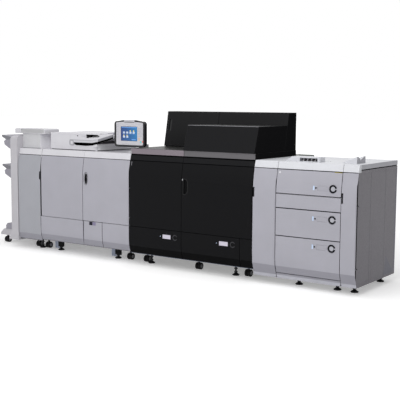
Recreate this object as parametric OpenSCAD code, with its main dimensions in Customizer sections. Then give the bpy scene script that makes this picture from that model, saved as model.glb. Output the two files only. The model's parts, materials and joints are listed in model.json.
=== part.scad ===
// Digital production printer: finisher, fixing unit, print engine and paper deck in one row.
// Every piece is drawn in row coordinates: X from the left tray tip, Y back from the front, Z up.

/* [Row] */
// Reach of the stack trays past the finisher
tray_reach = 370; // [300:5:450]
// Width of the finisher
finisher_w = 431; // [390:1:520]
// Width of the fixing unit
fixing_w = 1164; // [1080:1:1400]
// Width of the print engine
engine_w = 1355; // [1200:1:1650]
// Width of the paper deck
deck_w = 950; // [850:1:1200]
// Depth of the whole row, to the engine's rear cover
row_d = 1100; // [1000:5:1300]
// Depth of the cabinets
cabinet_d = 797; // [700:1:950]

/* [Heights] */
// Top of the white covers
cover_top = 1042; // [1000:1:1260]
// Height of the white covers' front
cover_h = 62; // [50:1:80]
// Height of the metal band above the black cover front
band_h = 51; // [40:1:70]
// Underside of the print engine
engine_low = 111; // [105:1:150]
// Underside of the fixing unit
fixing_low = 121; // [105:1:150]
// Underside of the finisher
finisher_low = 105; // [105:1:150]
// Underside of the paper deck
deck_low = 66; // [60:1:100]
// Height of the line between the doors and the lower panels
lower_line = 367; // [330:1:420]
// Thickness of the metal base plates
base_t = 20; // [12:1:24]

/* [Front faces] */
// Height above which the faces lean back
belly_top = 750; // [650:1:850]
// How far the faces lean back at the cover's top
lean_d = 40; // [20:1:45]
// Height of the line where the foot slope starts
kick_z = 175; // [150:1:200]
// How far the foot slope goes back
kick_d = 32; // [15:1:35]
// Steps of the curved face
face_steps = 8; // [4:1:16]
// Gap between neighbouring doors and cabinets
gap = 4; // [3:0.5:6]
// Depth of the doors' back behind the face
door_back = 40; // [36:1:44]
// Depth of the cabinets' front behind the face
front_d = 75; // [70:1:90]
// Radius of a door's hinge edge
edge_r = 20; // [16:1:24]
// Thickness of the cabinets' walls
wall_t = 30; // [25:1:40]

/* [Hinges and runners] */
// Radius of the hinge pins
pin_r = 4; // [3:0.5:6]
// Radius of the hinge brackets' round end
bracket_r = 8; // [7:0.5:10]
// Thickness of the hinge brackets
bracket_t = 10; // [8:1:16]
// Height of the upper hinge brackets
hinge_top_z = 720; // [600:1:740]
// Thickness of the drawers' walls
tray_t = 6; // [4:0.5:8]
// Width of the drawers' runners
rail_w = 16; // [12:1:24]

/* [Paper deck] */
// Width of the deck's left door
deck_left_w = 225; // [200:1:280]
// Width of the deck's right door
deck_right_w = 136; // [120:1:180]
// Bottom lines of the three drawers
drawer_lines = [781, 430, 112];
// Bottom of the fixed strip under the upper drawer
strip_z = 661; // [600:1:700]
// Radius of the drawers' round keys
key_r = 35; // [28:1:40]
// Distance of the keys' centres from the drawers' right edge
key_inset = 72; // [60:1:90]
// Heights of the keys' centres
key_levels = [844, 597, 368];

/* [Print engine] */
// Width of the narrow fixed panel beside the right cassette
engine_side_w = 125; // [100:1:160]
// Share of the engine's width left of the door split
engine_split_share = 0.45; // [0.4:0.01:0.5]
// Height of the front hood above the engine's cover
hood_h = 225; // [180:1:280]
// Height of the rear hood above the engine's cover
hood_rear_h = 339; // [300:1:400]
// Depth of the rear hood's front foot
hood_rear_y = 536; // [450:1:560]
// Depth of the hoods' back
hood_back_y = 740; // [700:1:780]
// Radius of the cassettes' round keys
cassette_key_r = 27; // [20:1:32]
// Height of the cassettes' round keys
cassette_key_z = 304; // [280:1:320]
// Radius of the print drums
drum_r = 42; // [30:1:48]

/* [Fixing unit] */
// Width of the fixing unit's left door
fixing_left_w = 580; // [500:1:620]
// Width of the small counter door
counter_w = 248; // [220:1:320]
// Radius of the fixing rollers
fixing_roller_r = 40; // [30:1:45]

/* [Document reader] */
// Left edge of the reader on the fixing unit's cover
reader_x = 69; // [40:1:90]
// Width of the reader
reader_w = 620; // [560:1:660]
// Front of the reader
reader_y = 90; // [70:1:110]
// Depth of the reader
reader_d = 600; // [520:1:640]
// Height of the reader's base
reader_h = 38; // [30:1:50]
// Width of the feeder's head
head_w = 480; // [440:1:500]
// Height of the feeder above the platen cover
head_h = 104; // [98:1:120]
// Length of the document tray past the head
doc_tray_l = 350; // [300:1:360]

/* [Control panel] */
// Width of the control panel
panel_w = 362; // [320:1:370]
// Height of the control panel
panel_h = 233; // [210:1:250]
// Thickness of the control panel
panel_t = 40; // [30:1:45]
// Reach of the panel's right edge over the engine
panel_over = 147; // [120:1:160]
// Height of the panel's underside above the cover
panel_lift = 65; // [60:1:90]

/* [Finisher] */
// Thickness of the finisher's end column
column_w = 100; // [85:1:110]
// Height of the column above the covers
column_rise = 128; // [100:1:160]
// Front of the insert feeder
inserter_y = 82; // [70:1:120]
// Height of the insert feeder
inserter_h = 150; // [130:1:165]
// Height of the insert feeder's lid
lid_h = 50; // [40:1:60]
// Depth of the insert feeder's lid
lid_d = 206; // [170:1:240]
// Depth of the stack trays
tray_d = 400; // [350:5:450]

/* [Casters and feet] */
// Radius of the caster wheels
wheel_r = 32; // [26:1:36]
// Width of one caster wheel
wheel_w = 22; // [18:1:26]
// Radius of the levelling feet
foot_r = 26; // [20:1:32]
// Distance of the casters from the front
caster_y = 200; // [170:1:240]

/* [Hidden] */
$fn = 48;

// Overrun of the cuts, running clearance of pins and gap between separate pieces
over = 5;
run_c = 0.05;
seat = 0.3;
// Gap between the plates of one cabinet
seam = 0.4;

// Places of the units along the row
finisher_x = tray_reach;
fixing_x = finisher_x + finisher_w;
engine_x = fixing_x + fixing_w;
deck_x = engine_x + engine_w;
row_l = deck_x + deck_w - gap / 2;
cover_low = cover_top - cover_h;
engine_top = cover_top + band_h;
kick_y = 5;
belly_low = 250;

// Doors
hinge_low_rise = 75;
hinge_low_z = lower_line + hinge_low_rise;
foot_hinge_rise = 45;
foot_hinge_z = kick_z + foot_hinge_rise;
counter_hinge_top_z = lower_line - foot_hinge_rise;
notch_c = 1;
bracket_pin_l = 40;
grip_w = 30;
grip_h = 82;
grip_d = 14;
grip_z = 776;
grip_bar_t = 6;
engine_grip_in = 15;
engine_grip_w = 45;
engine_bar_w = 6;

// Cabinets and drawers
fixing_shelf_t = 10;
cabinet_top = cover_low - seam;
panel_back = front_d - seam;
rail_h = 10;
dock_y = 300;
dock_z = 520;
dock_l = 80;
box_gap = 8;
box_rise = 20;
box_drop = 26;
box_back_c = 30;
box_back = wall_t + box_back_c;
front_back = 58;
key_t = 8;
key_travel = 4;
key_dish = 2;
key_stem_r = 8;
key_stem_l = 22;
key_ring = 11;
label_w = 92;
label_h = 38;
label_d = 3;
label_gap = 48;

// Hood
hood_front_lean = 70;
hood_rear_lean = 66;
hood_front_y = 22;
toner_door_t = 14;
toner_edge_r = toner_door_t / 2;
bottle_r = 48;
bottle_l = 120;
bottle_count = 4;
shelf_t = 12;
drum_count = 4;
unit_h = 84;
drum_l = 420;
frame_y = 600;
belt_h = 44;

function engine_split() = engine_w * engine_split_share;
function face_lean(z) = lean_d * pow((z - belly_top) / (cover_top - belly_top), 2);
function face_foot(z) = kick_y + kick_d * (kick_z - z) / (kick_z - deck_low);
function face_low(z) = kick_y * pow((belly_low - z) / (belly_low - kick_z), 2);
function face_y(z) =
    z > belly_top ? face_lean(z) : z < kick_z ? face_foot(z) : z < belly_low ? face_low(z) : 0;
function face_levels(z0, z1) = z0 < kick_z && z1 > kick_z
    ? concat([z0], [for (i = [0:face_steps]) kick_z + (z1 - kick_z) * i / face_steps])
    : [for (i = [0:face_steps]) z0 + (z1 - z0) * i / face_steps];

// Moves a piece from row coordinates to the part's own frame
module in_row() {
    translate([-row_l / 2, -row_d / 2, 0]) children();
}

// A box by its low and high corners
module block(low, high) {
    translate(low) cube(high - low);
}

// An outline in Y and Z drawn out along X
module along_x(x, w, outline) {
    translate([x, 0, 0]) rotate([90, 0, 90]) linear_extrude(w) polygon(outline);
}

// An outline in X and Z drawn out along Y
module along_y(y, d) {
    translate([0, y, 0]) rotate([90, 0, 0]) mirror([0, 0, 1]) linear_extrude(d) children();
}

// A rod along X or along Y
module rod_x(x, y, z, r, l) {
    translate([x, y, z]) rotate([0, 90, 0]) cylinder(r = r, h = l);
}
module rod_y(x, y, z, r, l) {
    translate([x, y, z]) rotate([-90, 0, 0]) cylinder(r = r, h = l);
}

// A plate whose front follows the curved face of the row
module face_plate(x, w, z0, z1, back) {
    levels = face_levels(z0, z1);
    along_x(x, w, concat([for (z = levels) [face_y(z), z]], [[back, z1], [back, z0]]));
}

// The plan of a door, rounded at its hinge edge
module door_plan(x, w, left, back) {
    rim = left ? x + edge_r : x + w - edge_r;
    translate([rim, edge_r]) circle(r = edge_r);
    translate([x, edge_r]) square([w, back]);
    translate([left ? x + edge_r : x, -over]) square([w - edge_r, edge_r + 2 * over]);
}

// A door with the notches and bores of its two hinges
module door(x, w, z0, z1, back, left, hinges) {
    pivot = left ? x + edge_r : x + w - edge_r;
    notch_r = bracket_r + notch_c;
    difference() {
        intersection() {
            face_plate(x, w, z0, z1, back);
            translate([0, 0, z0 - over]) linear_extrude(z1 - z0 + 2 * over) door_plan(x, w, left, back);
        }
        for (z = hinges) {
            translate([left ? x - over : pivot - notch_r, edge_r - notch_r, z - bracket_t / 2 - notch_c])
                cube([edge_r + over + notch_r, back, bracket_t + 2 * notch_c]);
            translate([pivot, edge_r, z - bracket_pin_l / 2 - notch_c])
                cylinder(r = pin_r + run_c, h = bracket_pin_l + 2 * notch_c);
        }
    }
}

// The bracket and pin that carry one door at one height
module hinge_bracket(pivot, z) {
    translate([pivot, edge_r, z - bracket_t / 2]) cylinder(r = bracket_r, h = bracket_t);
    block([pivot - bracket_r, edge_r, z - bracket_t / 2], [pivot + bracket_r, front_d, z + bracket_t / 2]);
    translate([pivot, edge_r, z - bracket_pin_l / 2]) cylinder(r = pin_r, h = bracket_pin_l);
}

// The hollow for the fingers at a door's free edge, open to that edge
module grip_cut(x, w, z) {
    block([x, -over, z - grip_h / 2], [x + w, grip_d, z + grip_h / 2]);
}

// The dark bar inside a grip
module grip_bar(x, w, z) {
    block([x, grip_d - grip_bar_t, z - grip_h / 2], [x + w, grip_d, z + grip_h / 2]);
}

// The plates of one cabinet: floor, two sides, back
module cabinet_plates(x, w, low) {
    x0 = x + gap / 2;
    x1 = x + w - gap / 2;
    block([x0, front_d, low], [x1, cabinet_d, low + base_t]);
    for (side = [x0, x1 - wall_t])
        block([side, front_d, low + base_t + seam], [side + wall_t, cabinet_d - wall_t - seam, cabinet_top]);
    block([x0, cabinet_d - wall_t, low + base_t + seam], [x1, cabinet_d, cabinet_top]);
}

// The plate that docks a cabinet to its neighbour on the left
module dock_plate(x) {
    block([x - gap / 2 + seat, dock_y, dock_z], [x + gap / 2 - seat, dock_y + dock_l, dock_z + dock_l]);
}

// The cover over a cabinet, with the curved face in front
module top_cover(x, w, top, back, high_back) {
    face_plate(x + gap / 2, w - gap, cover_low, cover_top, back);
    if (top > cover_top)
        block([x + gap / 2, face_y(cover_top), cover_top], [x + w - gap / 2, high_back, top]);
}

// The box of a drawer behind its front: floor, two sides and back
module drawer_box(x, w, z0, z1) {
    low = z0 + box_rise;
    high = z1 - box_drop;
    back = cabinet_d - box_back;
    block([x, front_back + seam, low], [x + w, back, low + tray_t]);
    for (side = [x, x + w - tray_t])
        block([side, front_back + seam, low + tray_t + seam], [side + tray_t, back, high]);
    block([x + tray_t + seam, back - tray_t, low + tray_t + seam], [x + w - tray_t - seam, back, high]);
}

// The pair of runners under a drawer's box, from wall to wall
module drawer_rails(x, w, z0) {
    top = z0 + box_rise - seat;
    for (side = [x - box_gap, x + w + box_gap - rail_w])
        block([side, front_d, top - rail_h], [side + rail_w, cabinet_d - wall_t - seam, top]);
}

// The front of a drawer, bored for its round key
module drawer_front(x, w, z0, z1, key_x, key_z, r) {
    difference() {
        face_plate(x, w, z0, z1, front_back);
        rod_y(key_x, -over, key_z, r + seat, over + key_t + key_travel + face_y(key_z));
        rod_y(key_x, 0, key_z, key_stem_r + run_c, front_back - over);
    }
}

// A round key with its stem
module round_key(key_x, key_z, r) {
    y = face_y(key_z);
    difference() {
        rod_y(key_x, y, key_z, r, key_t);
        rod_y(key_x, y - over, key_z, r - key_ring, over + key_dish);
    }
    rod_y(key_x, y + key_t, key_z, key_stem_r, key_stem_l);
}

// Places of the deck's drawers
deck_box_x = deck_x + deck_left_w + gap / 2 + wall_t / 2 + box_gap;
deck_box_w = deck_w - deck_left_w - deck_right_w - gap - wall_t - 2 * box_gap;
deck_front_x = deck_x + deck_left_w + gap / 2;
deck_front_w = deck_w - deck_left_w - deck_right_w - gap;
deck_key_x = deck_front_x + deck_front_w - key_inset;
function drawer_top(i) = i == 0 ? cover_low : i == 1 ? strip_z : drawer_lines[1];

module deck_drawer(i) {
    z0 = drawer_lines[i] + gap / 2;
    z1 = drawer_top(i) - gap / 2;
    drawer_front(deck_front_x, deck_front_w, z0, z1, deck_key_x, key_levels[i], key_r);
    drawer_box(deck_box_x, deck_box_w, z0, z1);
}

module deck_drawer_1() {
    color("#aaaab2") in_row() deck_drawer(0);
}
module deck_drawer_2() {
    color("#a6a6ae") in_row() deck_drawer(1);
}
module deck_drawer_3() {
    color("#a2a2aa") in_row() deck_drawer(2);
}
module deck_key_1() {
    color("#2d2d37") in_row() round_key(deck_key_x, key_levels[0], key_r);
}
module deck_key_2() {
    color("#2d2d37") in_row() round_key(deck_key_x, key_levels[1], key_r);
}
module deck_key_3() {
    color("#2d2d37") in_row() round_key(deck_key_x, key_levels[2], key_r);
}

// The deck's partitions stand behind the lines between its doors and drawers
module deck_partition(x, w) {
    block([x, front_d, deck_low + base_t + seam], [x + w, cabinet_d - wall_t - seam, cabinet_top]);
}

module deck_cabinet() {
    left_x = deck_x + deck_left_w - edge_r - bracket_r - gap / 2;
    left_w = deck_box_x - box_gap - left_x;
    color("#69676e") in_row() {
        cabinet_plates(deck_x, deck_w, deck_low);
        dock_plate(deck_x);
        deck_partition(left_x, left_w);
        deck_partition(deck_box_x + deck_box_w + box_gap, wall_t);
        for (line = drawer_lines) drawer_rails(deck_box_x, deck_box_w, line + gap / 2);
        face_plate(deck_front_x, deck_front_w, strip_z + gap / 2, drawer_lines[0] - gap / 2, panel_back);
        face_plate(deck_front_x, deck_front_w, deck_low, drawer_lines[2] - gap / 2, panel_back);
    }
}

// The raised paper inlet on the deck's cover
inlet_x = 310;
inlet_w = 250;
inlet_y = 110;
inlet_l = 102;
inlet_h = 40;
inlet_wall = 12;
inlet_toe = inlet_w / 4;
stop_x = 740;
stop_w = 132;
stop_y = 150;
stop_l = 160;
stop_t = 8;
stop_h = 54;

module deck_top_cover() {
    x0 = deck_x + inlet_x;
    x1 = x0 + inlet_w;
    y1 = inlet_y + inlet_l;
    top = cover_top + inlet_h;
    color("#dedee4") in_row() {
        top_cover(deck_x, deck_w, cover_top, cabinet_d);
        for (y = [inlet_y, y1 - inlet_wall])
            along_y(y, inlet_wall)
                polygon([[x0 - inlet_toe, cover_top + seam], [x1, cover_top + seam], [x1, top], [x0, top]]);
        block([x0, inlet_y + inlet_wall + seam, top - inlet_wall], [x1, y1 - inlet_wall - seam, top]);
        along_y(stop_y, stop_l)
            polygon([
                [deck_x + stop_x, cover_top + seam],
                [deck_x + stop_x + stop_w, cover_top + seam],
                [deck_x + stop_x + stop_w, cover_top + stop_h],
                [deck_x + stop_x + stop_w - stop_t, cover_top + stop_h]
            ]);
    }
}

module deck_door_left() {
    x = deck_x + gap / 2;
    w = deck_left_w - gap;
    color("#aeaeb6") in_row() {
        difference() {
            door(x, w, deck_low, cover_low - gap / 2, door_back, false, [foot_hinge_z, hinge_top_z]);
            grip_cut(x - over, grip_w / 2 + over, grip_z);
        }
        grip_bar(x + gap / 2, grip_w / 2 - gap, grip_z);
    }
}
module deck_door_right() {
    x = deck_x + deck_w - deck_right_w + gap / 2;
    w = deck_right_w - gap;
    color("#aeaeb6") in_row() {
        difference() {
            door(x, w, deck_low, cover_low - gap / 2, door_back, false, [foot_hinge_z, hinge_top_z]);
            grip_cut(x - over, grip_w / 2 + over, grip_z);
        }
        grip_bar(x + gap / 2, grip_w / 2 - gap, grip_z);
    }
}

// Print engine
engine_mid_x = engine_x + engine_split();
cassette_right_w = engine_w - engine_split() - engine_side_w;
cassette_key_inset = 72;
cassette_keys_x = [engine_mid_x - cassette_key_inset, deck_x - engine_side_w - cassette_key_inset];
rear_low = 150;
rear_cut = 7;
hood_ledge = 5;

module engine_cabinet() {
    color("#1c1c1e") in_row() {
        cabinet_plates(engine_x, engine_w, engine_low);
        dock_plate(engine_x);
        for (x = [engine_mid_x - wall_t / 2, engine_x + engine_w - engine_side_w])
            block([x, front_d, engine_low + base_t + seam],
                [x + wall_t, cabinet_d - wall_t - seam, lower_line - gap - fixing_shelf_t - seam]);
        block([engine_x + gap / 2 + wall_t + seam, front_d, lower_line - gap - fixing_shelf_t],
            [engine_x + engine_w - gap / 2 - wall_t - seam, cabinet_d - wall_t - seam, lower_line - gap]);
        drawer_rails(cassette_left_x, cassette_left_bw, engine_low + gap);
        drawer_rails(cassette_right_x, cassette_right_bw, engine_low + gap);
        block([engine_x + gap / 2 + wall_t + seam, frame_y, lower_line - gap + seam],
            [engine_x + engine_w - gap / 2 - wall_t - seam, frame_y + shelf_t, cabinet_top]);
        face_plate(engine_x + engine_w - engine_side_w + gap / 2, engine_side_w - gap, engine_low,
            lower_line - gap / 2, panel_back);
    }
}

cassette_left_x = engine_x + gap / 2 + wall_t + box_gap;
cassette_left_bw = engine_split() - gap / 2 - wall_t * 3 / 2 - 2 * box_gap;
cassette_right_x = engine_mid_x + wall_t / 2 + box_gap;
cassette_right_bw = engine_w - engine_split() - engine_side_w - wall_t / 2 - 2 * box_gap;

module cassette(x, w, box_x, box_w, key_x, label_x) {
    z1 = lower_line - gap / 2;
    difference() {
        drawer_front(x, w, engine_low, z1, key_x, cassette_key_z, cassette_key_r);
        block([label_x, -over, cassette_key_z - label_h / 2],
            [label_x + label_w, label_d, cassette_key_z + label_h / 2]);
    }
    block([label_x + seat, label_d / 2, cassette_key_z - label_h / 2 + seat],
        [label_x + label_w - seat, label_d - run_c, cassette_key_z + label_h / 2 - seat]);
    drawer_box(box_x, box_w, engine_low + gap, z1);
}
module cassette_left() {
    key_x = cassette_keys_x[0];
    color("#1e1e20") in_row() cassette(engine_x + gap / 2, engine_split() - gap, cassette_left_x,
        cassette_left_bw, key_x, key_x - label_gap - label_w);
}
module cassette_right() {
    key_x = cassette_keys_x[1];
    color("#1e1e20") in_row() cassette(engine_mid_x + gap / 2, cassette_right_w - gap, cassette_right_x,
        cassette_right_bw, key_x, key_x - label_gap - label_w);
}
module cassette_key_left() {
    color("#2a2a2c") in_row() round_key(cassette_keys_x[0], cassette_key_z, cassette_key_r);
}
module cassette_key_right() {
    color("#2a2a2c") in_row() round_key(cassette_keys_x[1], cassette_key_z, cassette_key_r);
}

module engine_top_cover() {
    color("#87797f") in_row() top_cover(engine_x, engine_w, engine_top, cabinet_d, hood_back_y + hood_ledge);
}

module engine_rear_cover() {
    color("#5c625c") in_row() block([engine_x + gap / 2, cabinet_d + seat, rear_low],
        [engine_x + engine_w - gap / 2, row_d, cover_top - rear_cut]);
}

module engine_door_left() {
    color("#1f1f21") in_row()
        door(engine_x + gap / 2, engine_split() - gap, lower_line + gap / 2, cover_low - gap / 2, door_back,
            true, [hinge_low_z, hinge_top_z]);
}
module engine_door_right() {
    x = engine_mid_x + gap / 2;
    w = engine_w - engine_split() - gap;
    color("#1f1f21") in_row() {
        difference() {
            door(x, w, lower_line + gap / 2, cover_low - gap / 2, door_back, false, [hinge_low_z, hinge_top_z]);
            grip_cut(x + engine_grip_in, engine_grip_w, grip_z);
        }
        grip_bar(x + engine_grip_in + seat, engine_bar_w, grip_z);
    }
}

// The hood's faces lean back on one line each
hood_rear_top = engine_top + hood_rear_h;
rear_lean_angle = atan(hood_rear_lean / hood_rear_h);
rear_slope_l = hood_rear_h / cos(rear_lean_angle);
function rear_face_y(z) = hood_rear_y + hood_rear_lean * (z - engine_top) / hood_rear_h;

module hood_front() {
    top = engine_top + hood_h;
    low = engine_top + seat;
    color("#242426") in_row() along_x(engine_mid_x + gap / 2, engine_w - engine_split() - gap, [
        [hood_front_y, low], [hood_front_y + hood_front_lean, top],
        [rear_face_y(top) - seat, top], [rear_face_y(low) - seat, low]
    ]);
}

module hood_rear() {
    low = engine_top + seat;
    set = toner_door_t + seat;
    x0 = engine_x + gap / 2;
    x1 = engine_mid_x;
    z1 = hood_rear_top - shelf_t;
    color("#202022") in_row() {
        along_x(engine_mid_x, engine_w - engine_split() - gap / 2, [
            [rear_face_y(low), low], [rear_face_y(hood_rear_top), hood_rear_top],
            [hood_back_y, hood_rear_top], [hood_back_y, low]
        ]);
        along_x(x0, x1 - x0 - seam, [
            [rear_face_y(z1) + set + seam, z1 + seam], [rear_face_y(hood_rear_top) + set, hood_rear_top],
            [hood_back_y, hood_rear_top], [hood_back_y, z1 + seam]
        ]);
        along_x(x0, shelf_t, [
            [rear_face_y(low) + set, low], [rear_face_y(z1) + set, z1],
            [hood_back_y - shelf_t - seam, z1], [hood_back_y - shelf_t - seam, low]
        ]);
        block([x0, hood_back_y - shelf_t, low], [x1 - seam, hood_back_y, z1]);
        block([x0 + shelf_t + seam, bottle_y, bottle_z - bottle_r - seat - shelf_t],
            [x1 - seam, hood_back_y - shelf_t - seam, bottle_z - bottle_r - seat]);
    }
}

bottle_c = 4;
bottle_y = hood_back_y - shelf_t - seam - bottle_l - bottle_c;
bottle_z = engine_top + hood_rear_h / 2;

module toner_door() {
    w = engine_split() - gap;
    color("#222224") in_row() translate([engine_x + gap / 2, hood_rear_y, engine_top])
        rotate([-rear_lean_angle, 0, 0]) translate([0, 0, gap]) linear_extrude(rear_slope_l - gap) {
            square([w - toner_edge_r, toner_door_t]);
            translate([w - toner_edge_r, toner_edge_r]) circle(r = toner_edge_r);
        }
}

module toner_bottles() {
    step = (engine_split() - 2 * shelf_t) / bottle_count;
    color("#3a3a3c") in_row() for (i = [0:bottle_count - 1])
        rod_y(engine_x + shelf_t + step * (i + 1 / 2), bottle_y + seam, bottle_z, bottle_r, bottle_l);
}

drum_drop = 220;
drum_z = cover_low - drum_drop;
drum_step = engine_w / (drum_count + 1);
module drum_units() {
    color("#30363a") in_row() for (i = [1:drum_count]) {
        rod_y(engine_x + drum_step * i, frame_y - drum_l, drum_z, drum_r, drum_l);
        block([engine_x + drum_step * i - drum_r, frame_y - drum_l, drum_z + drum_r + seam],
            [engine_x + drum_step * i + drum_r, frame_y, drum_z + drum_r + unit_h]);
    }
}
module transfer_belt() {
    z = drum_z - drum_r - belt_h / 2 - seat;
    x0 = engine_x + drum_step - drum_r;
    x1 = engine_x + drum_step * drum_count + drum_r;
    color("#2b2b2d") in_row() {
        block([x0, frame_y - drum_l, z - belt_h / 2], [x1, frame_y, z + belt_h / 2]);
        for (x = [x0, x1]) rod_y(x, frame_y - drum_l, z, belt_h / 2, drum_l);
    }
}

// Fixing unit
fixing_mid_x = fixing_x + fixing_left_w;
counter_x = fixing_mid_x + gap / 2;
window_x = 80;
window_w = 86;
window_z = 353;
window_h = 20;
oval_w = 59;
oval_h = 127;
oval_z = 780;
oval_x = 10;
oval_bar_in = 20;
oval_bar_w = 20;
oval_bar_h = 84;

module fixing_cabinet() {
    color("#b8b8bc") in_row() {
        cabinet_plates(fixing_x, fixing_w, fixing_low);
        dock_plate(fixing_x);
        block([fixing_mid_x - wall_t / 2, front_d, fixing_low + base_t + seam],
            [fixing_mid_x + wall_t + wall_t / 2, cabinet_d - wall_t - seam,
                lower_line - gap - fixing_shelf_t - seam]);
        block([fixing_x + gap / 2 + wall_t + seam, front_d, lower_line - gap - fixing_shelf_t],
            [fixing_x + fixing_w - gap / 2 - wall_t - seam, cabinet_d - wall_t - seam, lower_line - gap]);
        for (y = [fixing_support_y, fixing_support_y + fixing_roller_l + shelf_t + seat * 2])
            difference() {
                block([fixing_mid_x - support_w / 2, y, lower_line - gap + seam],
                    [fixing_mid_x + support_w / 2, y + shelf_t, support_top]);
                for (z = [fixing_roller_z, pressure_roller_z])
                    rod_y(fixing_mid_x, y - over, z, journal_r + run_c, shelf_t + 2 * over);
            }
    }
}
fixing_roller_rise = 273;
fixing_roller_z = lower_line + fixing_roller_rise;
pressure_roller_z = fixing_roller_z - 2 * fixing_roller_r - seat;
journal_r = 12;
support_w = 120;
support_rise = 70;
support_top = fixing_roller_z + support_rise;
fixing_support_y = 150;
fixing_roller_l = 400;

module heat_roller(z) {
    y0 = fixing_support_y + shelf_t + seat;
    rod_y(fixing_mid_x, y0, z, fixing_roller_r, fixing_roller_l);
    rod_y(fixing_mid_x, fixing_support_y, z, journal_r, fixing_roller_l + 2 * shelf_t + 2 * seat);
}
module fixing_roller() {
    color("#8a4a32") in_row() heat_roller(fixing_roller_z);
}
module pressure_roller() {
    color("#3a3a3e") in_row() heat_roller(pressure_roller_z);
}

module fixing_top_cover() {
    color("#dcdce2") in_row() {
        top_cover(fixing_x, fixing_w, cover_top, cabinet_d);
        translate([post_x, post_y, cover_top + seat]) cylinder(r = post_r, h = post_h - seat);
    }
}
module fixing_door_left() {
    color("#aaaab2") in_row()
        door(fixing_x + gap / 2, fixing_left_w - gap, lower_line + gap / 2, cover_low - gap / 2, door_back,
            true, [hinge_low_z, hinge_top_z]);
}
module fixing_door_right() {
    x = fixing_mid_x + gap / 2;
    color("#aaaab2") in_row() {
        difference() {
            door(x, fixing_w - fixing_left_w - gap, lower_line + gap / 2, cover_low - gap / 2, door_back, false,
                [hinge_low_z, hinge_top_z]);
            block([x + oval_x, -over, oval_z - oval_h / 2], [x + oval_x + oval_w, grip_d, oval_z + oval_h / 2]);
        }
        block([x + oval_x + oval_bar_in, grip_d - grip_bar_t, oval_z - oval_bar_h / 2],
            [x + oval_x + oval_bar_in + oval_bar_w, grip_d, oval_z + oval_bar_h / 2]);
    }
}
module fixing_lower_panels() {
    x1 = counter_x + counter_w;
    z1 = lower_line - gap / 2;
    color("#a4a4ac") in_row() {
        face_plate(fixing_x + gap / 2, fixing_left_w - gap, fixing_low, z1, panel_back);
        face_plate(x1 + gap / 2, fixing_x + fixing_w - gap - x1, fixing_low, z1, panel_back);
    }
}
module counter_door() {
    z1 = lower_line - gap / 2;
    low = window_z - window_h / 2;
    high = window_z + window_h / 2;
    color("#a4a4ac") in_row() {
        difference() {
            door(counter_x, counter_w - gap / 2, fixing_low, z1, front_back, true,
                [foot_hinge_z, counter_hinge_top_z]);
            block([counter_x + window_x, -over, low - seat], [counter_x + window_x + window_w, label_d, high]);
        }
        block([counter_x + window_x + seat, label_d / 2, low],
            [counter_x + window_x + window_w - seat, label_d - run_c, high - seat]);
    }
}

// Document reader and feeder
rx = fixing_x + reader_x;
ry = reader_y;
base_top = cover_top + seat + reader_h;
reader_corner_r = 60;
glass_t = 4;
glass_inset = 60;
glass_back = 90;
glass_d = reader_d - glass_inset - glass_back;
lid_t = 28;
lid_low = base_top + seat;
lid_top = lid_low + lid_t;
head_top = lid_top + head_h;
doc_y = ry + 35;
doc_d = 450;
doc_rail_flat = 78;
doc_rail_h = 26;
doc_rail_low = [[181, 17], [350, 62]];
doc_rail_high = [[350, 89], [200, 61], [117, 27]];
doc_rise = 36;
doc_root_h = 64;
doc_nose_t = 10;
doc_z = lid_top + doc_root_h;
roller_r = 14;
feed_in = 42;
lid_cover_t = 19;
lid_cover_over = 180;

module reader_base() {
    color("#d8d8dc") in_row() translate([0, 0, cover_top + seat]) difference() {
        linear_extrude(reader_h) union() {
            translate([rx, ry]) square([reader_w - reader_corner_r, reader_d]);
            translate([rx + reader_w - reader_corner_r, ry + reader_corner_r])
                square([reader_corner_r, reader_d - reader_corner_r]);
            translate([rx + reader_w - reader_corner_r, ry + reader_corner_r]) circle(r = reader_corner_r);
        }
        translate([rx + glass_inset, ry + glass_inset, reader_h - glass_t])
            cube([reader_w - 2 * glass_inset, glass_d, glass_t + over]);
    }
}
module platen_glass() {
    color("#607880") in_row() translate([rx + glass_inset + seat, ry + glass_inset + seat, base_top - glass_t])
        cube([reader_w - 2 * glass_inset - 2 * seat, glass_d - 2 * seat, glass_t - seat]);
}
feeder_back = ry + reader_d;
module feeder_body() {
    color("#dedee2") in_row() {
        block([rx, ry, lid_low], [rx + reader_w, feeder_back, lid_top]);
        for (y = [ry, feeder_back - shelf_t])
            block([rx, y, lid_top + seam], [rx + head_w, y + shelf_t, head_top - lid_cover_t - seat]);
        block([rx, ry + shelf_t + seam, lid_top + seam],
            [rx + shelf_t, feeder_back - shelf_t - seam, head_top - lid_cover_t - seat]);
    }
}
module feeder_cover() {
    color("#e2e2e6") in_row() block([rx, ry, head_top - lid_cover_t],
        [rx + head_w + lid_cover_over, feeder_back, head_top]);
}
module feed_roller() {
    color("#2a2a2c") in_row() rod_y(rx + head_w - feed_in, ry + shelf_t + seat, lid_top + head_h / 2, roller_r,
        reader_d - 2 * shelf_t - 2 * seat);
}
function doc_top(x) = doc_z + doc_rise * x / doc_tray_l;
module document_tray() {
    x0 = rx + head_w + seat;
    x1 = x0 + doc_tray_l;
    color("#d2d2d6") in_row() {
        along_y(doc_y, doc_d) polygon([
            [x0, lid_top + seam], [x1, doc_z + doc_rise - doc_nose_t], [x1, doc_z + doc_rise], [x0, doc_z]
        ]);
        along_y(ry, doc_y - ry - seam) polygon([
            [x0, lid_top + seam], [x0 + doc_rail_flat, lid_top + seam],
            for (p = doc_rail_low) [x0 + p[0], lid_top + p[1]],
            for (p = doc_rail_high) [x0 + p[0], lid_top + p[1]], [x0, lid_top + doc_rail_h]
        ]);
    }
}
guide_l = 140;
guide_h = 22;
guide_x = 196;
guide_in = 60;
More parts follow.
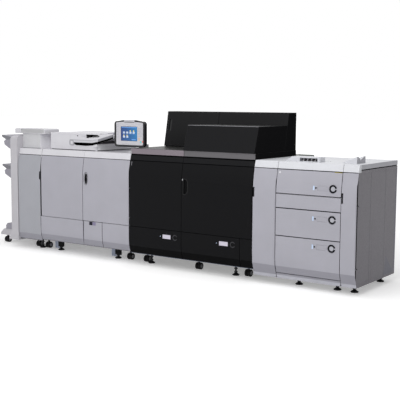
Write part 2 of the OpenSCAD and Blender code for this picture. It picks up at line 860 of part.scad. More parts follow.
module sheet_guide(y) {
    x0 = rx + head_w + guide_x;
    along_y(y, tray_t) polygon([
        [x0, doc_top(guide_x) + seat], [x0 + guide_l, doc_top(guide_x + guide_l) + seat],
        [x0 + guide_l, doc_top(guide_x + guide_l) + guide_h], [x0, doc_top(guide_x) + guide_h]
    ]);
}
module guide_front() {
    color("#8a8a90") in_row() sheet_guide(doc_y + guide_in);
}
module guide_rear() {
    color("#8a8a90") in_row() sheet_guide(doc_y + doc_d - guide_in - tray_t);
}

// Control panel on its arm
post_r = 26;
post_c = 3;
post_h = band_h + post_c;
panel_x = engine_x + panel_over - panel_w;
panel_mid_x = panel_x + panel_w / 2;
panel_y = 50;
panel_z = cover_top + panel_lift;
post_x = panel_mid_x;
post_y = 300;
arm_t = 22;
arm_w = 56;
arm_low = cover_top + post_h + seat;
head_r = 15;
tilt_c = 4;
tilt_y = panel_y + panel_t + head_r + tilt_c;
tilt_share = 0.4;
tilt_z = panel_z + panel_h * tilt_share;
tilt_pin_r = 7;
lug_t = 16;
panel_corner_r = 18;
screen_w = 195;
screen_h = 131;
screen_x = 82;
screen_z = 52;
screen_t = 3;
start_in = 41;
start_up = 43;
stop_in = 20;
stop_up = 47;
proud = 1;
panel_key_r = 8;
panel_key_t = 6;

module panel_arm() {
    color("#d4d4d8") in_row() {
        translate([post_x, post_y, arm_low]) cylinder(r = post_r, h = arm_t);
        block([post_x - arm_w / 2, tilt_y - head_r, arm_low], [post_x + arm_w / 2, post_y, arm_low + arm_t]);
        block([post_x - arm_w / 2, tilt_y - head_r + tilt_c, arm_low + arm_t],
            [post_x + arm_w / 2, tilt_y + head_r, tilt_z]);
        rod_x(post_x - arm_w / 2, tilt_y, tilt_z, head_r, arm_w);
        rod_x(post_x - arm_w / 2 - lug_t - seat, tilt_y, tilt_z, tilt_pin_r, arm_w + 2 * lug_t + 2 * seat);
    }
}
module panel_outline() {
    translate([panel_x, panel_corner_r]) square([panel_w, panel_h - 2 * panel_corner_r]);
    translate([panel_x + panel_corner_r, 0]) square([panel_w - 2 * panel_corner_r, panel_h]);
    for (x = [panel_x + panel_corner_r, panel_x + panel_w - panel_corner_r])
        for (z = [panel_corner_r, panel_h - panel_corner_r]) translate([x, z]) circle(r = panel_corner_r);
}
module panel_housing() {
    color("#2c2c30") in_row() difference() {
        union() {
            translate([0, 0, panel_z]) along_y(panel_y, panel_t) panel_outline();
            for (x = [post_x - arm_w / 2 - seat - lug_t, post_x + arm_w / 2 + seat]) {
                rod_x(x, tilt_y, tilt_z, head_r, lug_t);
                block([x, panel_y + panel_t, tilt_z - head_r], [x + lug_t, tilt_y, tilt_z + head_r]);
            }
        }
        rod_x(post_x - arm_w, tilt_y, tilt_z, tilt_pin_r + run_c, 2 * arm_w);
        block([panel_x + screen_x, panel_y - over, panel_z + screen_z],
            [panel_x + screen_x + screen_w, panel_y + screen_t, panel_z + screen_z + screen_h]);
        for (key = panel_keys) rod_y(key[0], panel_y - over, key[1], panel_key_r + seat, over + panel_key_t);
    }
}
panel_keys = [
    [panel_x + panel_w - start_in, panel_z + start_up],
    [panel_x + panel_w - stop_in, panel_z + stop_up]
];
module touch_screen() {
    x0 = panel_x + screen_x;
    z0 = panel_z + screen_z;
    color("#2b6cc4") in_row() block([x0 + seat, panel_y + seat, z0 + seat],
        [x0 + screen_w - seat, panel_y + screen_t - run_c, z0 + screen_h - seat]);
}
module panel_key(place) {
    rod_y(place[0], panel_y - proud, place[1], panel_key_r, panel_key_t - proud);
}
module start_key() {
    color("#30c0b8") in_row() panel_key(panel_keys[0]);
}
module stop_key() {
    color("#e07060") in_row() panel_key(panel_keys[1]);
}

// Finisher
column_x = finisher_x;
column_top = cover_top + column_rise;
column_low = 85;
column_round = 40;
column_corner = 42;
corner_step = 15;
flare_w = 40;
flare_z = 170;
fin_body_x = finisher_x + column_w;
fin_body_w = finisher_w - column_w;
inserter_top = cover_top + seat + inserter_h;
inserter_in = 74;
tray_y = 160;
upper_tray_rise = 122;
lower_tray_drop = 190;
upper_tray_z = cover_top + upper_tray_rise;
lower_tray_z = cover_top - lower_tray_drop;
// Side of a stack tray, as places and drops below its tip
tray_tip_x = 64;
tray_tip_t = 19;
tray_root_drop = 39;
tray_root_low = 170;
tray_neck = [125, 48];
tray_lobe = [[94, 67], [104, 105], [183, 145]];

module finisher_cabinet() {
    color("#b4b6ba") in_row() {
        cabinet_plates(fin_body_x, fin_body_w, finisher_low);
        face_plate(fin_body_x + gap / 2, fin_body_w - gap, cover_low, cover_top, cabinet_d);
        for (y = [exit_y, exit_y + exit_l + shelf_t + 2 * seat])
            difference() {
                block([exit_x - exit_hanger_w / 2, y, cabinet_top - exit_hanger_h],
                    [exit_x + exit_hanger_w / 2, y + shelf_t, cabinet_top]);
                rod_y(exit_x, y - over, exit_z, journal_small_r + run_c, shelf_t + 2 * over);
            }
    }
}
exit_in = 90;
exit_x = fin_body_x + exit_in;
exit_y = 180;
exit_l = 360;
exit_drop = 34;
exit_z = cabinet_top - exit_drop;
exit_hanger_w = 56;
exit_hanger_h = 60;
journal_small_r = 6;
module exit_rollers() {
    color("#2a2a2c") in_row() {
        rod_y(exit_x, exit_y + shelf_t + seat, exit_z, roller_r, exit_l);
        rod_y(exit_x, exit_y, exit_z, journal_small_r, exit_l + 2 * shelf_t + 2 * seat);
    }
}
module finisher_end_cover() {
    color("#c8c8cc") in_row() booklet_foot();
    color("#c8c8cc") in_row() intersection() {
        along_y(0, cabinet_d) polygon([
            [column_x - flare_w, column_low], [column_x + column_w, column_low],
            [column_x + column_w, column_top],
            for (a = [90 : -corner_step : 0]) [
                column_x + column_corner * (1 - cos(a)), column_top - column_corner * (1 - sin(a))
            ],
            [column_x, flare_z], [column_x - flare_w, column_low + base_t]
        ]);
        translate([column_x - flare_w, 0, 0]) rotate([90, 0, 90]) linear_extrude(column_w + flare_w) union() {
            square([cabinet_d, column_top - column_round]);
            translate([column_round, 0]) square([cabinet_d, column_top]);
            translate([column_round, column_top - column_round]) circle(r = column_round);
        }
    }
}
module finisher_door() {
    x = fin_body_x + gap / 2;
    w = fin_body_w - gap;
    color("#a2a4a8") in_row() {
        difference() {
            door(x, w, finisher_low, cover_low - gap / 2, door_back, true, [foot_hinge_z, hinge_top_z]);
            grip_cut(x + w - grip_w / 2, grip_w / 2 + over, grip_z);
        }
        grip_bar(x + w - grip_w / 2 + gap / 2, grip_w / 2 - gap, grip_z);
    }
}
module inserter_body() {
    color("#c4c4c8") in_row() {
        block([fin_body_x + seat, inserter_y, cover_top + seat],
            [fin_body_x + fin_body_w - inserter_in, cabinet_d - wall_t, inserter_top]);
    }
}
lid_back = 12;
lid_r = lid_h / 3;
module inserter_lid() {
    low = inserter_top + seat;
    r = lid_r;
    color("#cfcfd3") in_row() {
        along_y(inserter_y - lid_back, lid_d) union() {
            translate([fin_body_x - column_w, low]) square([fin_body_w + column_w, lid_h - r]);
            translate([fin_body_x - column_w + r, low]) square([fin_body_w + column_w - 2 * r, lid_h]);
            for (x = [fin_body_x - column_w + r, fin_body_x + fin_body_w - r])
                translate([x, low + lid_h - r]) circle(r = r);
        }
    }
}

// A stack tray with its deep lobe, tip at the left
module stack_tray(z) {
    x1 = column_x - seat;
    along_y(tray_y, tray_d) polygon([
        [tray_tip_x, z], [x1, z - tray_root_drop], [x1, z - tray_root_low],
        for (k = [len(tray_lobe) - 1 : -1 : 0]) [tray_lobe[k][0], z - tray_lobe[k][1]],
        [tray_neck[0], z - tray_neck[1]], [tray_tip_x, z - tray_tip_t]
    ]);
}
module stack_tray_upper() {
    color("#8c8c94") in_row() stack_tray(upper_tray_z);
}
module stack_tray_lower() {
    color("#8c8c94") in_row() stack_tray(lower_tray_z);
}
// The fixed foot of the booklet tray reaches out to the left and carries a caster
booklet_tip = 20;
booklet_slope = 47;
booklet_top = 150;
booklet_low = column_low;
booklet_h = 80;
booklet_nose = 14;
booklet_set = 34;
booklet_lean = 24;
function flare_x(z) = column_x - flare_w * (flare_z - z) / (flare_z - column_low - base_t);
module booklet_foot() {
    along_y(tray_y, cabinet_d - tray_y) polygon([
        [booklet_tip, booklet_low], [column_x - flare_w - seat, booklet_low],
        [column_x - flare_w - seat, booklet_top], [booklet_tip + booklet_slope, booklet_top],
        [booklet_tip, booklet_low + base_t]
    ]);
}
module booklet_tray() {
    x0 = booklet_tip + booklet_slope + booklet_set;
    x1 = flare_x(booklet_top) - seat;
    low = booklet_top + seat;
    color("#8c8c94") in_row() along_y(tray_y, tray_d)
        polygon([
            [x0, low], [x1, low], [x1, low + booklet_h], [x0 + booklet_lean, low + booklet_h - booklet_nose],
            [x0, low + booklet_h / 2]
        ]);
}

// Hinges of the doors, as pairs of pivot place and height
function door_hinge_list() = [
    for (z = [foot_hinge_z, hinge_top_z]) [fin_body_x + gap / 2 + edge_r, z],
    for (z = [hinge_low_z, hinge_top_z]) [fixing_x + gap / 2 + edge_r, z],
    for (z = [hinge_low_z, hinge_top_z]) [engine_x - gap / 2 - edge_r, z],
    for (z = [foot_hinge_z, counter_hinge_top_z]) [counter_x + edge_r, z],
    for (z = [hinge_low_z, hinge_top_z]) [engine_x + gap / 2 + edge_r, z],
    for (z = [hinge_low_z, hinge_top_z]) [deck_x - gap / 2 - edge_r, z],
    for (z = [foot_hinge_z, hinge_top_z]) [deck_x + deck_left_w - gap / 2 - edge_r, z],
    for (z = [foot_hinge_z, hinge_top_z]) [deck_x + deck_w - gap / 2 - edge_r, z]
];
module door_hinges() {
    color("#707074") in_row() for (place = door_hinge_list()) hinge_bracket(place[0], place[1]);
}

// Feet: a pad on the floor with a stem up to the base
foot_caster_c = 20;
rear_in = 100;
foot_pad_h = 10;
foot_stem_r = 7;
foot_y = caster_y - foot_caster_c;
rear_y = cabinet_d - rear_in;
rear_wheel_y = rear_y + rear_in / 2;
module foot(x, y, low) {
    translate([x, y, 0]) cylinder(r = foot_r, h = foot_pad_h);
    translate([x, y, foot_pad_h]) cylinder(r = foot_stem_r, h = low - foot_pad_h);
}
fixing_feet = [108, 879];
engine_feet = [132, 1082];
deck_feet = [361, 716, 867];
finisher_foot = 175;
module levelling_feet() {
    color("#28282a") in_row() for (y = [foot_y, rear_y]) {
        for (x = fixing_feet) foot(fixing_x + x, y, fixing_low);
        for (x = engine_feet) foot(engine_x + x, y, engine_low);
        for (x = deck_feet) foot(deck_x + x, y, deck_low);
        foot(fin_body_x + finisher_foot, y, finisher_low);
    }
}

// Casters: a fork with an axle, and two wheels
axle_r = 4;
fork_t = 8;
fork_w = 26;
wheel_lift = 1.5;
// Places of the casters along the finisher, the fixing unit and the engine
booklet_caster = 90;
finisher_casters = [107, 243];
fixing_caster = 1022;
engine_casters = [65, 670, 1203];
// Each caster's place along the row and the height of what carries it
casters = concat(
    [[booklet_caster, booklet_low]],
    [for (x = finisher_casters) [fin_body_x + x, finisher_low]],
    [[fixing_x + fixing_caster, fixing_low]],
    [for (x = engine_casters) [engine_x + x, engine_low]]
);
wheel_z = wheel_r + wheel_lift;
module caster_fork(x, y, low) {
    block([x - fork_t / 2, y - fork_w / 2, wheel_z - 2 * axle_r], [x + fork_t / 2, y + fork_w / 2, low]);
    rod_x(x - fork_t / 2 - wheel_w - seat, y, wheel_z, axle_r, fork_t + 2 * wheel_w + 2 * seat);
}
module caster_forks() {
    color("#2c2c2e") in_row() for (y = [caster_y, rear_wheel_y]) for (c = casters) caster_fork(c[0], y, c[1]);
}
module wheel_row(y) {
    for (c = casters)
        for (x = [c[0] - fork_t / 2 - seat - wheel_w, c[0] + fork_t / 2 + seat])
            difference() {
                rod_x(x, y, wheel_z, wheel_r, wheel_w);
                rod_x(x - over, y, wheel_z, axle_r + run_c, wheel_w + 2 * over);
            }
}
module front_wheels() {
    color("#1a1a1c") in_row() wheel_row(caster_y);
}
module rear_wheels() {
    color("#1a1a1c") in_row() wheel_row(rear_wheel_y);
}

finisher_cabinet();
finisher_end_cover();
finisher_door();
inserter_body();
inserter_lid();
stack_tray_upper();
stack_tray_lower();
booklet_tray();
exit_rollers();
fixing_cabinet();
fixing_top_cover();
fixing_door_left();
fixing_door_right();
fixing_lower_panels();
counter_door();
fixing_roller();
pressure_roller();
reader_base();
platen_glass();
feeder_body();
feeder_cover();
document_tray();
guide_front();
guide_rear();
feed_roller();
panel_arm();
panel_housing();
touch_screen();
start_key();
stop_key();
engine_cabinet();
engine_top_cover();
engine_rear_cover();
engine_door_left();
engine_door_right();
hood_front();
hood_rear();
toner_door();
toner_bottles();
drum_units();
transfer_belt();
cassette_left();
cassette_right();
cassette_key_left();
cassette_key_right();
deck_cabinet();
deck_top_cover();
deck_door_left();
deck_door_right();
deck_drawer_1();
deck_drawer_2();
deck_drawer_3();
deck_key_1();
deck_key_2();
deck_key_3();
door_hinges();
levelling_feet();
caster_forks();
front_wheels();
rear_wheels();
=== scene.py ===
"""Digital production printer: the looks of the finisher, fixing unit, print engine and paper deck."""

import json
import logging
import math
from dataclasses import dataclass
from enum import Enum
from functools import cache
from typing import Iterable, Optional, Sequence

import bmesh
import bpy
from mathutils import Matrix, Vector


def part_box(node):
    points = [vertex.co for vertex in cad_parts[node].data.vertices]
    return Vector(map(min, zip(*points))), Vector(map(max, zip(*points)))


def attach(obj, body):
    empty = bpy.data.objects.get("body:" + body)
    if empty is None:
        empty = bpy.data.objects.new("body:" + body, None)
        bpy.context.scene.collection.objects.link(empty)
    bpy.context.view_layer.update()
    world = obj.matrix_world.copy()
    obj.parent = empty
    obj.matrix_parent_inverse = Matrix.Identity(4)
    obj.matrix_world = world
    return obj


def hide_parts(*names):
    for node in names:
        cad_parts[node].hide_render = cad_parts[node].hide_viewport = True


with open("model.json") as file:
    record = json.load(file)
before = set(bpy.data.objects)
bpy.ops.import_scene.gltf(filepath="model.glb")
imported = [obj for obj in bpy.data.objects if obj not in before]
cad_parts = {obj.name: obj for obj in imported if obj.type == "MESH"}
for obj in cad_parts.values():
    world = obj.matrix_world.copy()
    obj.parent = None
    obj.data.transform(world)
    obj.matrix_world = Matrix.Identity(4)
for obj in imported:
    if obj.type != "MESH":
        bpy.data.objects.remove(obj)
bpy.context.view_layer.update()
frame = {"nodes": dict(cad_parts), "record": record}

logging.basicConfig(level=logging.INFO, format="%(message)s")
LOG = logging.getLogger("printer")

Point = tuple[float, float]
Triple = tuple[float, float, float]
Four = tuple[float, float, float, float]
Socket = bpy.types.NodeSocket
Tree = bpy.types.GeometryNodeTree
MM = 0.001
OVER = 5.0
FAR = 1e6
BACK = 797.0
FRONT, RIGHT = (0, -1, 0), (1, 0, 0)
EDGE_ANGLE, SHARP_ANGLE = math.radians(30), math.radians(35)


# Finishes


class Kind(Enum):
    """How a finish is built."""

    PAINT = "paint"
    PLASTIC = "plastic"
    BRUSHED = "brushed"
    RUBBER = "rubber"
    GLASS = "glass"
    LAMP = "lamp"
    SCREEN = "screen"


def linear(colour: Triple) -> Four:
    """The linear colour of an sRGB one.

    Args:
        colour: red, green and blue from 0 to 255.

    Returns:
        The colour with alpha 1, as shaders take it.
    """
    def part(value: float) -> float:
        """One channel of the linear colour."""
        share = value / 255
        return share / 12.92 if share <= 0.04045 else ((share + 0.055) / 1.055) ** 2.4
    return (part(colour[0]), part(colour[1]), part(colour[2]), 1.0)


@dataclass(frozen=True)
class Finish:
    """A surface finish and the procedural material that shows it.

    Attributes:
        name: the material's name.
        colour: its sRGB colour, 0 to 255.
        kind: how it is built.
        slot: the record's material slot it belongs to.
        rough: its mean roughness.
        rough_spread: how far the roughness varies.
        metal: its metallic share.
        coat: the weight of a clear coat.
        grain: the fineness of its surface, in bumps per metre.
        bump: the depth of its surface, in metres.
        tint: how far its colour varies.
        glow: the strength of its own light.
        stretch: how far the grain is drawn out along the row.
        spec: its specular level.
    """

    name: str
    colour: Triple
    kind: Kind
    slot: str
    rough: float = 0.45
    rough_spread: float = 0.08
    metal: float = 0.0
    coat: float = 0.0
    grain: float = 900.0
    bump: float = 0.00006
    tint: float = 0.012
    glow: float = 0.0
    stretch: float = 1.0
    spec: float = 0.5

    def material(self) -> bpy.types.Material:
        """The material, made on its first use."""
        known = bpy.data.materials.get(self.name)
        return known if known else FinishBuilder(self).build()


class Graph:
    """A node tree under construction."""

    def __init__(self, tree: bpy.types.NodeTree) -> None:
        """Starts on a tree."""
        self.tree = tree

    @staticmethod
    def fix(node: bpy.types.Node, values: dict[object, object]) -> None:
        """Sets fixed values on a node's inputs."""
        for key, value in values.items():
            node.inputs[key].default_value = value

    def node(self, kind: str, fixed: Optional[dict[object, object]] = None, **values: object) -> bpy.types.Node:
        """Adds a node.

        Args:
            kind: the node's type name.
            fixed: fixed values of its inputs.
            values: properties to set on it.

        Returns:
            The new node.
        """
        made = self.tree.nodes.new(kind)
        for key, value in values.items():
            setattr(made, key, value)
        self.fix(made, fixed or {})
        return made

    def link(self, *pairs: tuple[Socket, Socket]) -> None:
        """Links each pair's output to its input."""
        for source, target in pairs:
            self.tree.links.new(source, target)


class FinishBuilder(Graph):
    """Builds the node tree of one finish."""

    def __init__(self, finish: Finish) -> None:
        """Starts an empty material.

        Args:
            finish: the finish to build.
        """
        self.finish = finish
        self.material = bpy.data.materials.new(finish.name)
        self.material.use_nodes = True
        super().__init__(self.material.node_tree)
        self.shader = self.tree.nodes["Principled BSDF"]
        self.places = self.node("ShaderNodeTexCoord").outputs["Object"]

    def noise(self, scale: float, detail: float, stretch: float = 1.0) -> Socket:
        """A noise pattern on object coordinates.

        Args:
            scale: cells per metre.
            detail: octaves.
            stretch: how far cells are drawn out along X.

        Returns:
            The pattern's value, 0 to 1.
        """
        mapping = self.node("ShaderNodeMapping", {"Scale": (scale / stretch, scale, scale)})
        noise = self.node("ShaderNodeTexNoise", {"Scale": 1.0, "Detail": detail})
        self.link((self.places, mapping.inputs["Vector"]), (mapping.outputs["Vector"], noise.inputs["Vector"]))
        return noise.outputs["Fac"]

    def spread(self, value: Socket, low: float, high: float) -> Socket:
        """A pattern's value carried to another range.

        Args:
            value: the pattern's value.
            low: what its low values become.
            high: what its high values become.

        Returns:
            The new value.
        """
        carry = self.node("ShaderNodeMapRange", {"From Min": 0.3, "From Max": 0.7, "To Min": low, "To Max": high})
        self.link((value, carry.inputs["Value"]))
        return carry.outputs["Result"]

    def blend(self, value: Socket, first: Triple, second: Triple) -> Socket:
        """A colour between two by a pattern's value.

        Args:
            value: the pattern's value.
            first: the sRGB colour at 0.
            second: the sRGB colour at 1.

        Returns:
            The colour.
        """
        mix = self.node("ShaderNodeMix", {6: linear(first), 7: linear(second)}, data_type="RGBA")
        self.link((value, mix.inputs["Factor"]))
        return mix.outputs[2]

    def shade(self, factor: float) -> Triple:
        """The finish's colour made lighter or darker by a factor."""
        red, green, blue = (min(255.0, part * factor) for part in self.finish.colour)
        return (red, green, blue)

    def bump(self, value: Socket, depth: float) -> None:
        """Raises the surface by a pattern.

        Args:
            value: the pattern's value.
            depth: its height, in metres.
        """
        bump = self.node("ShaderNodeBump", {"Strength": 0.6, "Distance": depth})
        self.link((value, bump.inputs["Height"]), (bump.outputs["Normal"], self.shader.inputs["Normal"]))

    def build(self) -> bpy.types.Material:
        """Builds the whole material.

        Returns:
            The finished material.
        """
        finish = self.finish
        self.fix(self.shader, {"Metallic": finish.metal, "Coat Weight": finish.coat, "Coat Roughness": 0.12,
                               "Specular IOR Level": finish.spec})
        cloud = self.noise(6.0, 3.0)
        fine = self.noise(finish.grain, 2.0, finish.stretch)
        if finish.kind is Kind.SCREEN:
            self.screen()
        elif finish.kind is Kind.LAMP:
            self.lamp()
        else:
            tone = self.blend(self.spread(cloud, 0.0, 1.0), self.shade(1 - finish.tint), self.shade(1 + finish.tint))
            self.link((tone, self.shader.inputs["Base Color"]))
        streak = self.noise(finish.grain / 12, 4.0, finish.stretch)
        worn = self.spread(streak, finish.rough - finish.rough_spread, finish.rough + finish.rough_spread)
        self.link((worn, self.shader.inputs["Roughness"]))
        if finish.kind is Kind.GLASS:
            self.fix(self.shader, {"Transmission Weight": 0.85, "IOR": 1.5})
        self.bump(fine, finish.bump)
        return self.material

    def lamp(self) -> None:
        """A small lit lens."""
        self.shine(self.blend(self.noise(400.0, 1.0), self.shade(0.9), self.shade(1.05)))

    def shine(self, tone: Socket) -> None:
        """Gives the surface a tone as its colour and as its own light."""
        self.link((tone, self.shader.inputs["Base Color"]), (tone, self.shader.inputs["Emission Color"]))
        self.fix(self.shader, {"Emission Strength": self.finish.glow})

    def screen(self) -> None:
        """A lit screen that turns from deep blue at its left to a lighter blue, with soft clouds."""
        split = self.node("ShaderNodeSeparateXYZ")
        across = self.node("ShaderNodeMapRange", {"From Min": -0.30, "From Max": -0.11})
        clouds = self.node("ShaderNodeMath", {1: 0.5}, operation="MULTIPLY_ADD")
        self.link((self.places, split.inputs["Vector"]), (split.outputs["X"], across.inputs["Value"]),
                  (self.spread(self.noise(9.0, 2.0), -0.3, 0.5), clouds.inputs[0]),
                  (across.outputs["Result"], clouds.inputs[2]))
        red, green, blue = self.finish.colour
        self.shine(self.blend(clouds.outputs["Value"], self.finish.colour, (red + 8, green + 56, blue + 50)))


def moulded(name: str, colour: Triple, slot: str = "light_plastic", rough: float = 0.5, grain: float = 1400.0,
            **more: float) -> Finish:
    """A moulded plastic, by the fields of a finish."""
    return Finish(name, colour, Kind.PLASTIC, slot, rough, grain=grain, **more)


def painted(name: str, colour: Triple, slot: str, rough: float = 0.5, grain: float = 1100.0, **more: float) -> Finish:
    """A painted sheet, by the fields of a finish."""
    return Finish(name, colour, Kind.PAINT, slot, rough, grain=grain, **more)


def brushed(name: str, colour: Triple, slot: str, rough: float, metal: float, **more: float) -> Finish:
    """A brushed metal, by the fields of a finish."""
    return Finish(name, colour, Kind.BRUSHED, slot, rough, metal=metal, **more)


def lit(name: str, colour: Triple, slot: str, rough: float, glow: float) -> Finish:
    """A small lit lens, by the fields of a finish."""
    return Finish(name, colour, Kind.LAMP, slot, rough, glow=glow)


class Look:
    """Every finish of the machine."""

    COLUMN = moulded("moulded light grey", (188, 186, 191))
    LID_FACE = moulded("lid face grey", (176, 176, 178))
    # Near white for the inserter's right face: painted light against the shade of the reader beside it.
    INSERTER = moulded("inserter side painted light", (240, 239, 243))
    INSERTER_FRONT = moulded("moulded soft grey", (198, 198, 201))
    COVER = moulded("moulded white", (209, 208, 213), "white_plastic", 0.45)
    DECK_COVER = moulded("moulded cool white", (213, 214, 219), "white_plastic", 0.45)
    TONGUE = moulded("moulded pale grey", (196, 196, 202), "light_plastic", 0.45)
    # A grey for the thin line above the feeder's front rail: painted shadow.
    RAIL = moulded("tray rail shadow line", (150, 150, 154), "light_plastic", 0.45)
    # Near black for the document tray's front and underside: painted shade.
    RAIL_SHADE = moulded("tray front and underside shade", (40, 40, 42), "light_plastic", 0.6)
    DOOR = painted("lavender grey paint", (165, 164, 173), "door_lavender", 0.42, coat=0.1)
    # A darker lavender grey on the kick that slopes down under the doors and drawers: painted shade.
    DOOR_FOOT_SHADE = painted("lavender grey foot shade", (146, 145, 154), "door_lavender")
    # Dark lines at the lower edges and at the drawers' upper and lower edges: painted shadow of the gaps there.
    EDGE_SHADE = painted("painted edge shadow", (58, 57, 64), "door_lavender")
    SKIRT = painted("pale foot strip", (182, 182, 191), "door_lavender")
    PLATE = moulded("drawer label plate", (163, 162, 171), "door_lavender", 0.35, grain=1100, coat=0.2)
    FIN_DOOR = painted("cool grey paint", (159, 160, 167), "door_gray", 0.42, coat=0.1)
    SIDE = painted("warm grey side paint", (97, 94, 101), "side_gray", coat=0.05)
    SIDE_REAR = painted("cool grey side paint", (87, 87, 99), "side_gray", coat=0.05)
    DEEP = moulded("gap shadow", (5, 5, 6), "black_plastic", 0.8, grain=900, spec=0.0)
    # A deeper black on the engine's kick, which faces down: painted shade.
    BLACK_FOOT_SHADE = painted("black foot shade paint", (7, 7, 8), "black_metal", spec=0.04)
    # Near white for the right faces of the reader's base and the feeder's lid: painted light under the tray's shade.
    BASE_SIDE_LIT = moulded("reader side painted light", (240, 240, 243))
    GUARD = moulded("moulded guard grey", (164, 164, 169), "light_plastic", 0.45)
    # A grey for the right faces of the deck's white cover and its stop: painted shade.
    LIP_SHADE = moulded("side lip shade", (170, 170, 177), "white_plastic")
    SIDE_DARK = painted("dark side paint", (88, 86, 92), "side_gray")
    SIDE_LIGHT = painted("light back paint", (172, 171, 178), "sheet_metal_light")
    TRAY = moulded("moulded tray grey", (148, 146, 156), "tray_gray")
    TRAY_DARK = moulded("moulded dark tray grey", (118, 118, 124), "tray_gray")
    BLACK = painted("black paint", (14, 14, 16), "black_metal", 0.4, spec=0.07)
    HOOD = moulded("black hood plastic", (19, 19, 21), "black_plastic", 0.45, grain=1500, spec=0.08)
    HOOD_REAR = moulded("black rear hood", (28, 28, 29), "black_plastic", 0.45, grain=1500, spec=0.08)
    BLACK_TOP = painted("black fascia paint", (21, 21, 23), "black_metal", 0.4, spec=0.07)
    # A matte copy of the hood's black plastic, without its sheen, for the right faces: painted shade.
    HOOD_SIDE_SHADE = moulded("black hood side shade", (24, 24, 25), "black_plastic", 0.6, grain=1500, spec=0.0)
    GLOSS = moulded("glossy black plastic", (18, 18, 20), "black_plastic", 0.2, grain=1500, spec=0.3)
    SLOT = moulded("vent shadow", (14, 14, 15), "black_plastic", 0.7, grain=1500, spec=0.05)
    # A light brushed metal for the strip on the hood's front edge: partly its own metal, partly a painted highlight.
    EDGE = brushed("hood edge highlight metal", (118, 118, 122), "band_metal", 0.3, 0.8, grain=900, stretch=30)
    BAND = brushed("mauve metal band", (124, 115, 122), "band_metal", 0.34, 0.6, grain=1600, bump=3e-05, stretch=40)
    BAND_RIGHT = brushed("dark metal band", (96, 94, 97), "band_metal", 0.34, 0.6, grain=1600, bump=3e-05, stretch=40)
    TRIM = brushed("foot trim metal", (96, 102, 116), "band_metal", 0.35, 0.6, grain=900, stretch=30)
    TOP_BLACK = moulded("black top plastic", (28, 28, 27), "black_plastic", 0.4, grain=1300, spec=0.2)
    REAR = painted("rear duct paint", (116, 121, 116), "rear_metal")
    SHEET = brushed("zinc sheet", (150, 150, 152), "sheet_metal_light", 0.4, 0.6, grain=700, stretch=8)
    DARK_SHEET = painted("black sheet", (30, 30, 32), "black_metal", grain=900, spec=0.2)
    DRUM = moulded("drum unit plastic", (44, 50, 54), "black_plastic", 0.4, grain=900)
    BELT = Finish("transfer belt", (34, 32, 34), Kind.RUBBER, "roller_rubber", 0.3, coat=0.2, grain=600)
    GRIP = moulded("dark grip plastic", (30, 30, 36), "panel_dark", grain=1500, spec=0.2)
    # A pale grey for the fixing grip's cup and rim, lighter than the door: partly their own colour, partly a painted
    # highlight.
    CUP = moulded("grip cup highlight plastic", (176, 176, 184), "tray_gray", 0.4, grain=1500)
    RING = moulded("key ring plastic", (14, 14, 20), "key_ring_dark", grain=1500, spec=0.1)
    DARK_RING = moulded("dark key ring", (52, 52, 56), "panel_dark", 0.35, grain=1500, spec=0.4)
    KEY = moulded("key plastic", (176, 176, 184), "door_lavender", 0.4, grain=1500)
    LABEL = moulded("label plate", (205, 200, 215), "light_plastic", 0.3, grain=900, coat=0.3)
    LILAC = moulded("lilac plate", (138, 132, 158), grain=900, spec=0.1)
    BLUE = lit("blue marker", (192, 210, 236), "key_teal", 0.3, 0.1)
    AMBER = lit("amber marker", (176, 160, 48), "key_teal", 0.3, 0.1)
    STATUS = lit("status lamp", (118, 118, 122), "key_teal", 0.3, 0.05)
    LENS = moulded("dark lens", (25, 30, 40), "panel_dark", 0.15, grain=900, coat=0.6)
    WINDOW = moulded("counter window", (38, 36, 48), "panel_dark", 0.4, grain=900, spec=0.1)
    PANEL = moulded("panel rim plastic", (28, 28, 32), "panel_dark", 0.35, grain=1500, spec=0.3)
    FASCIA = moulded("panel fascia", (192, 191, 197), "panel_dark", 0.38, grain=1500)
    SCREEN = Finish("lit screen", (10, 50, 112), Kind.SCREEN, "screen_glass", 0.15, glow=0.25)
    TILE = lit("screen tiles", (186, 200, 220), "screen_glass", 0.2, 0.2)
    TILE_DARK = lit("screen bars", (92, 142, 206), "screen_glass", 0.2, 0.35)
    YELLOW = lit("screen marks", (222, 204, 90), "screen_glass", 0.2, 0.35)
    TEAL = lit("start key", (70, 196, 196), "key_teal", 0.35, 0.15)
    RED = lit("stop key", (222, 124, 110), "key_red", 0.35, 0.1)
    ORANGE = lit("small key", (218, 160, 96), "key_red", 0.35, 0.1)
    RUBBER = Finish("black rubber", (22, 22, 24), Kind.RUBBER, "wheel_rubber", 0.7, grain=500, bump=0.0001, spec=0.2)
    ROLLER = Finish("roller rubber", (40, 40, 42), Kind.RUBBER, "roller_rubber", 0.65, grain=500)
    COATED = painted("coated roller", (128, 72, 50), "roller_coated", 0.3, grain=900, coat=0.4)
    STEEL = brushed("plain steel", (150, 150, 153), "steel_parts", 0.35, 0.85, grain=900, stretch=6)
    HUB = moulded("caster hub", (120, 120, 124), "steel_dark", 0.4, grain=900)
    FORK = painted("dark fork steel", (40, 40, 44), "steel_dark", 0.4, grain=900, metal=0.2, spec=0.3)
    FORK_LIGHT = painted("light fork steel", (168, 168, 174), "steel_dark", 0.4, grain=900)
    BRACKET = painted("bluish bracket", (150, 158, 176), "steel_dark", 0.4, grain=900, metal=0.2)
    FOOT = moulded("black foot plastic", (26, 26, 29), "foot_black", 0.45, grain=900, spec=0.25)
    PLATEN = Finish("platen glass", (170, 190, 195), Kind.GLASS, "platen_glass", 0.05, rough_spread=0.02, bump=1e-05)
    BOTTLE = moulded("bottle plastic", (60, 60, 64), "bottle_plastic", 0.35, grain=900)


# Shapes, in row millimetres


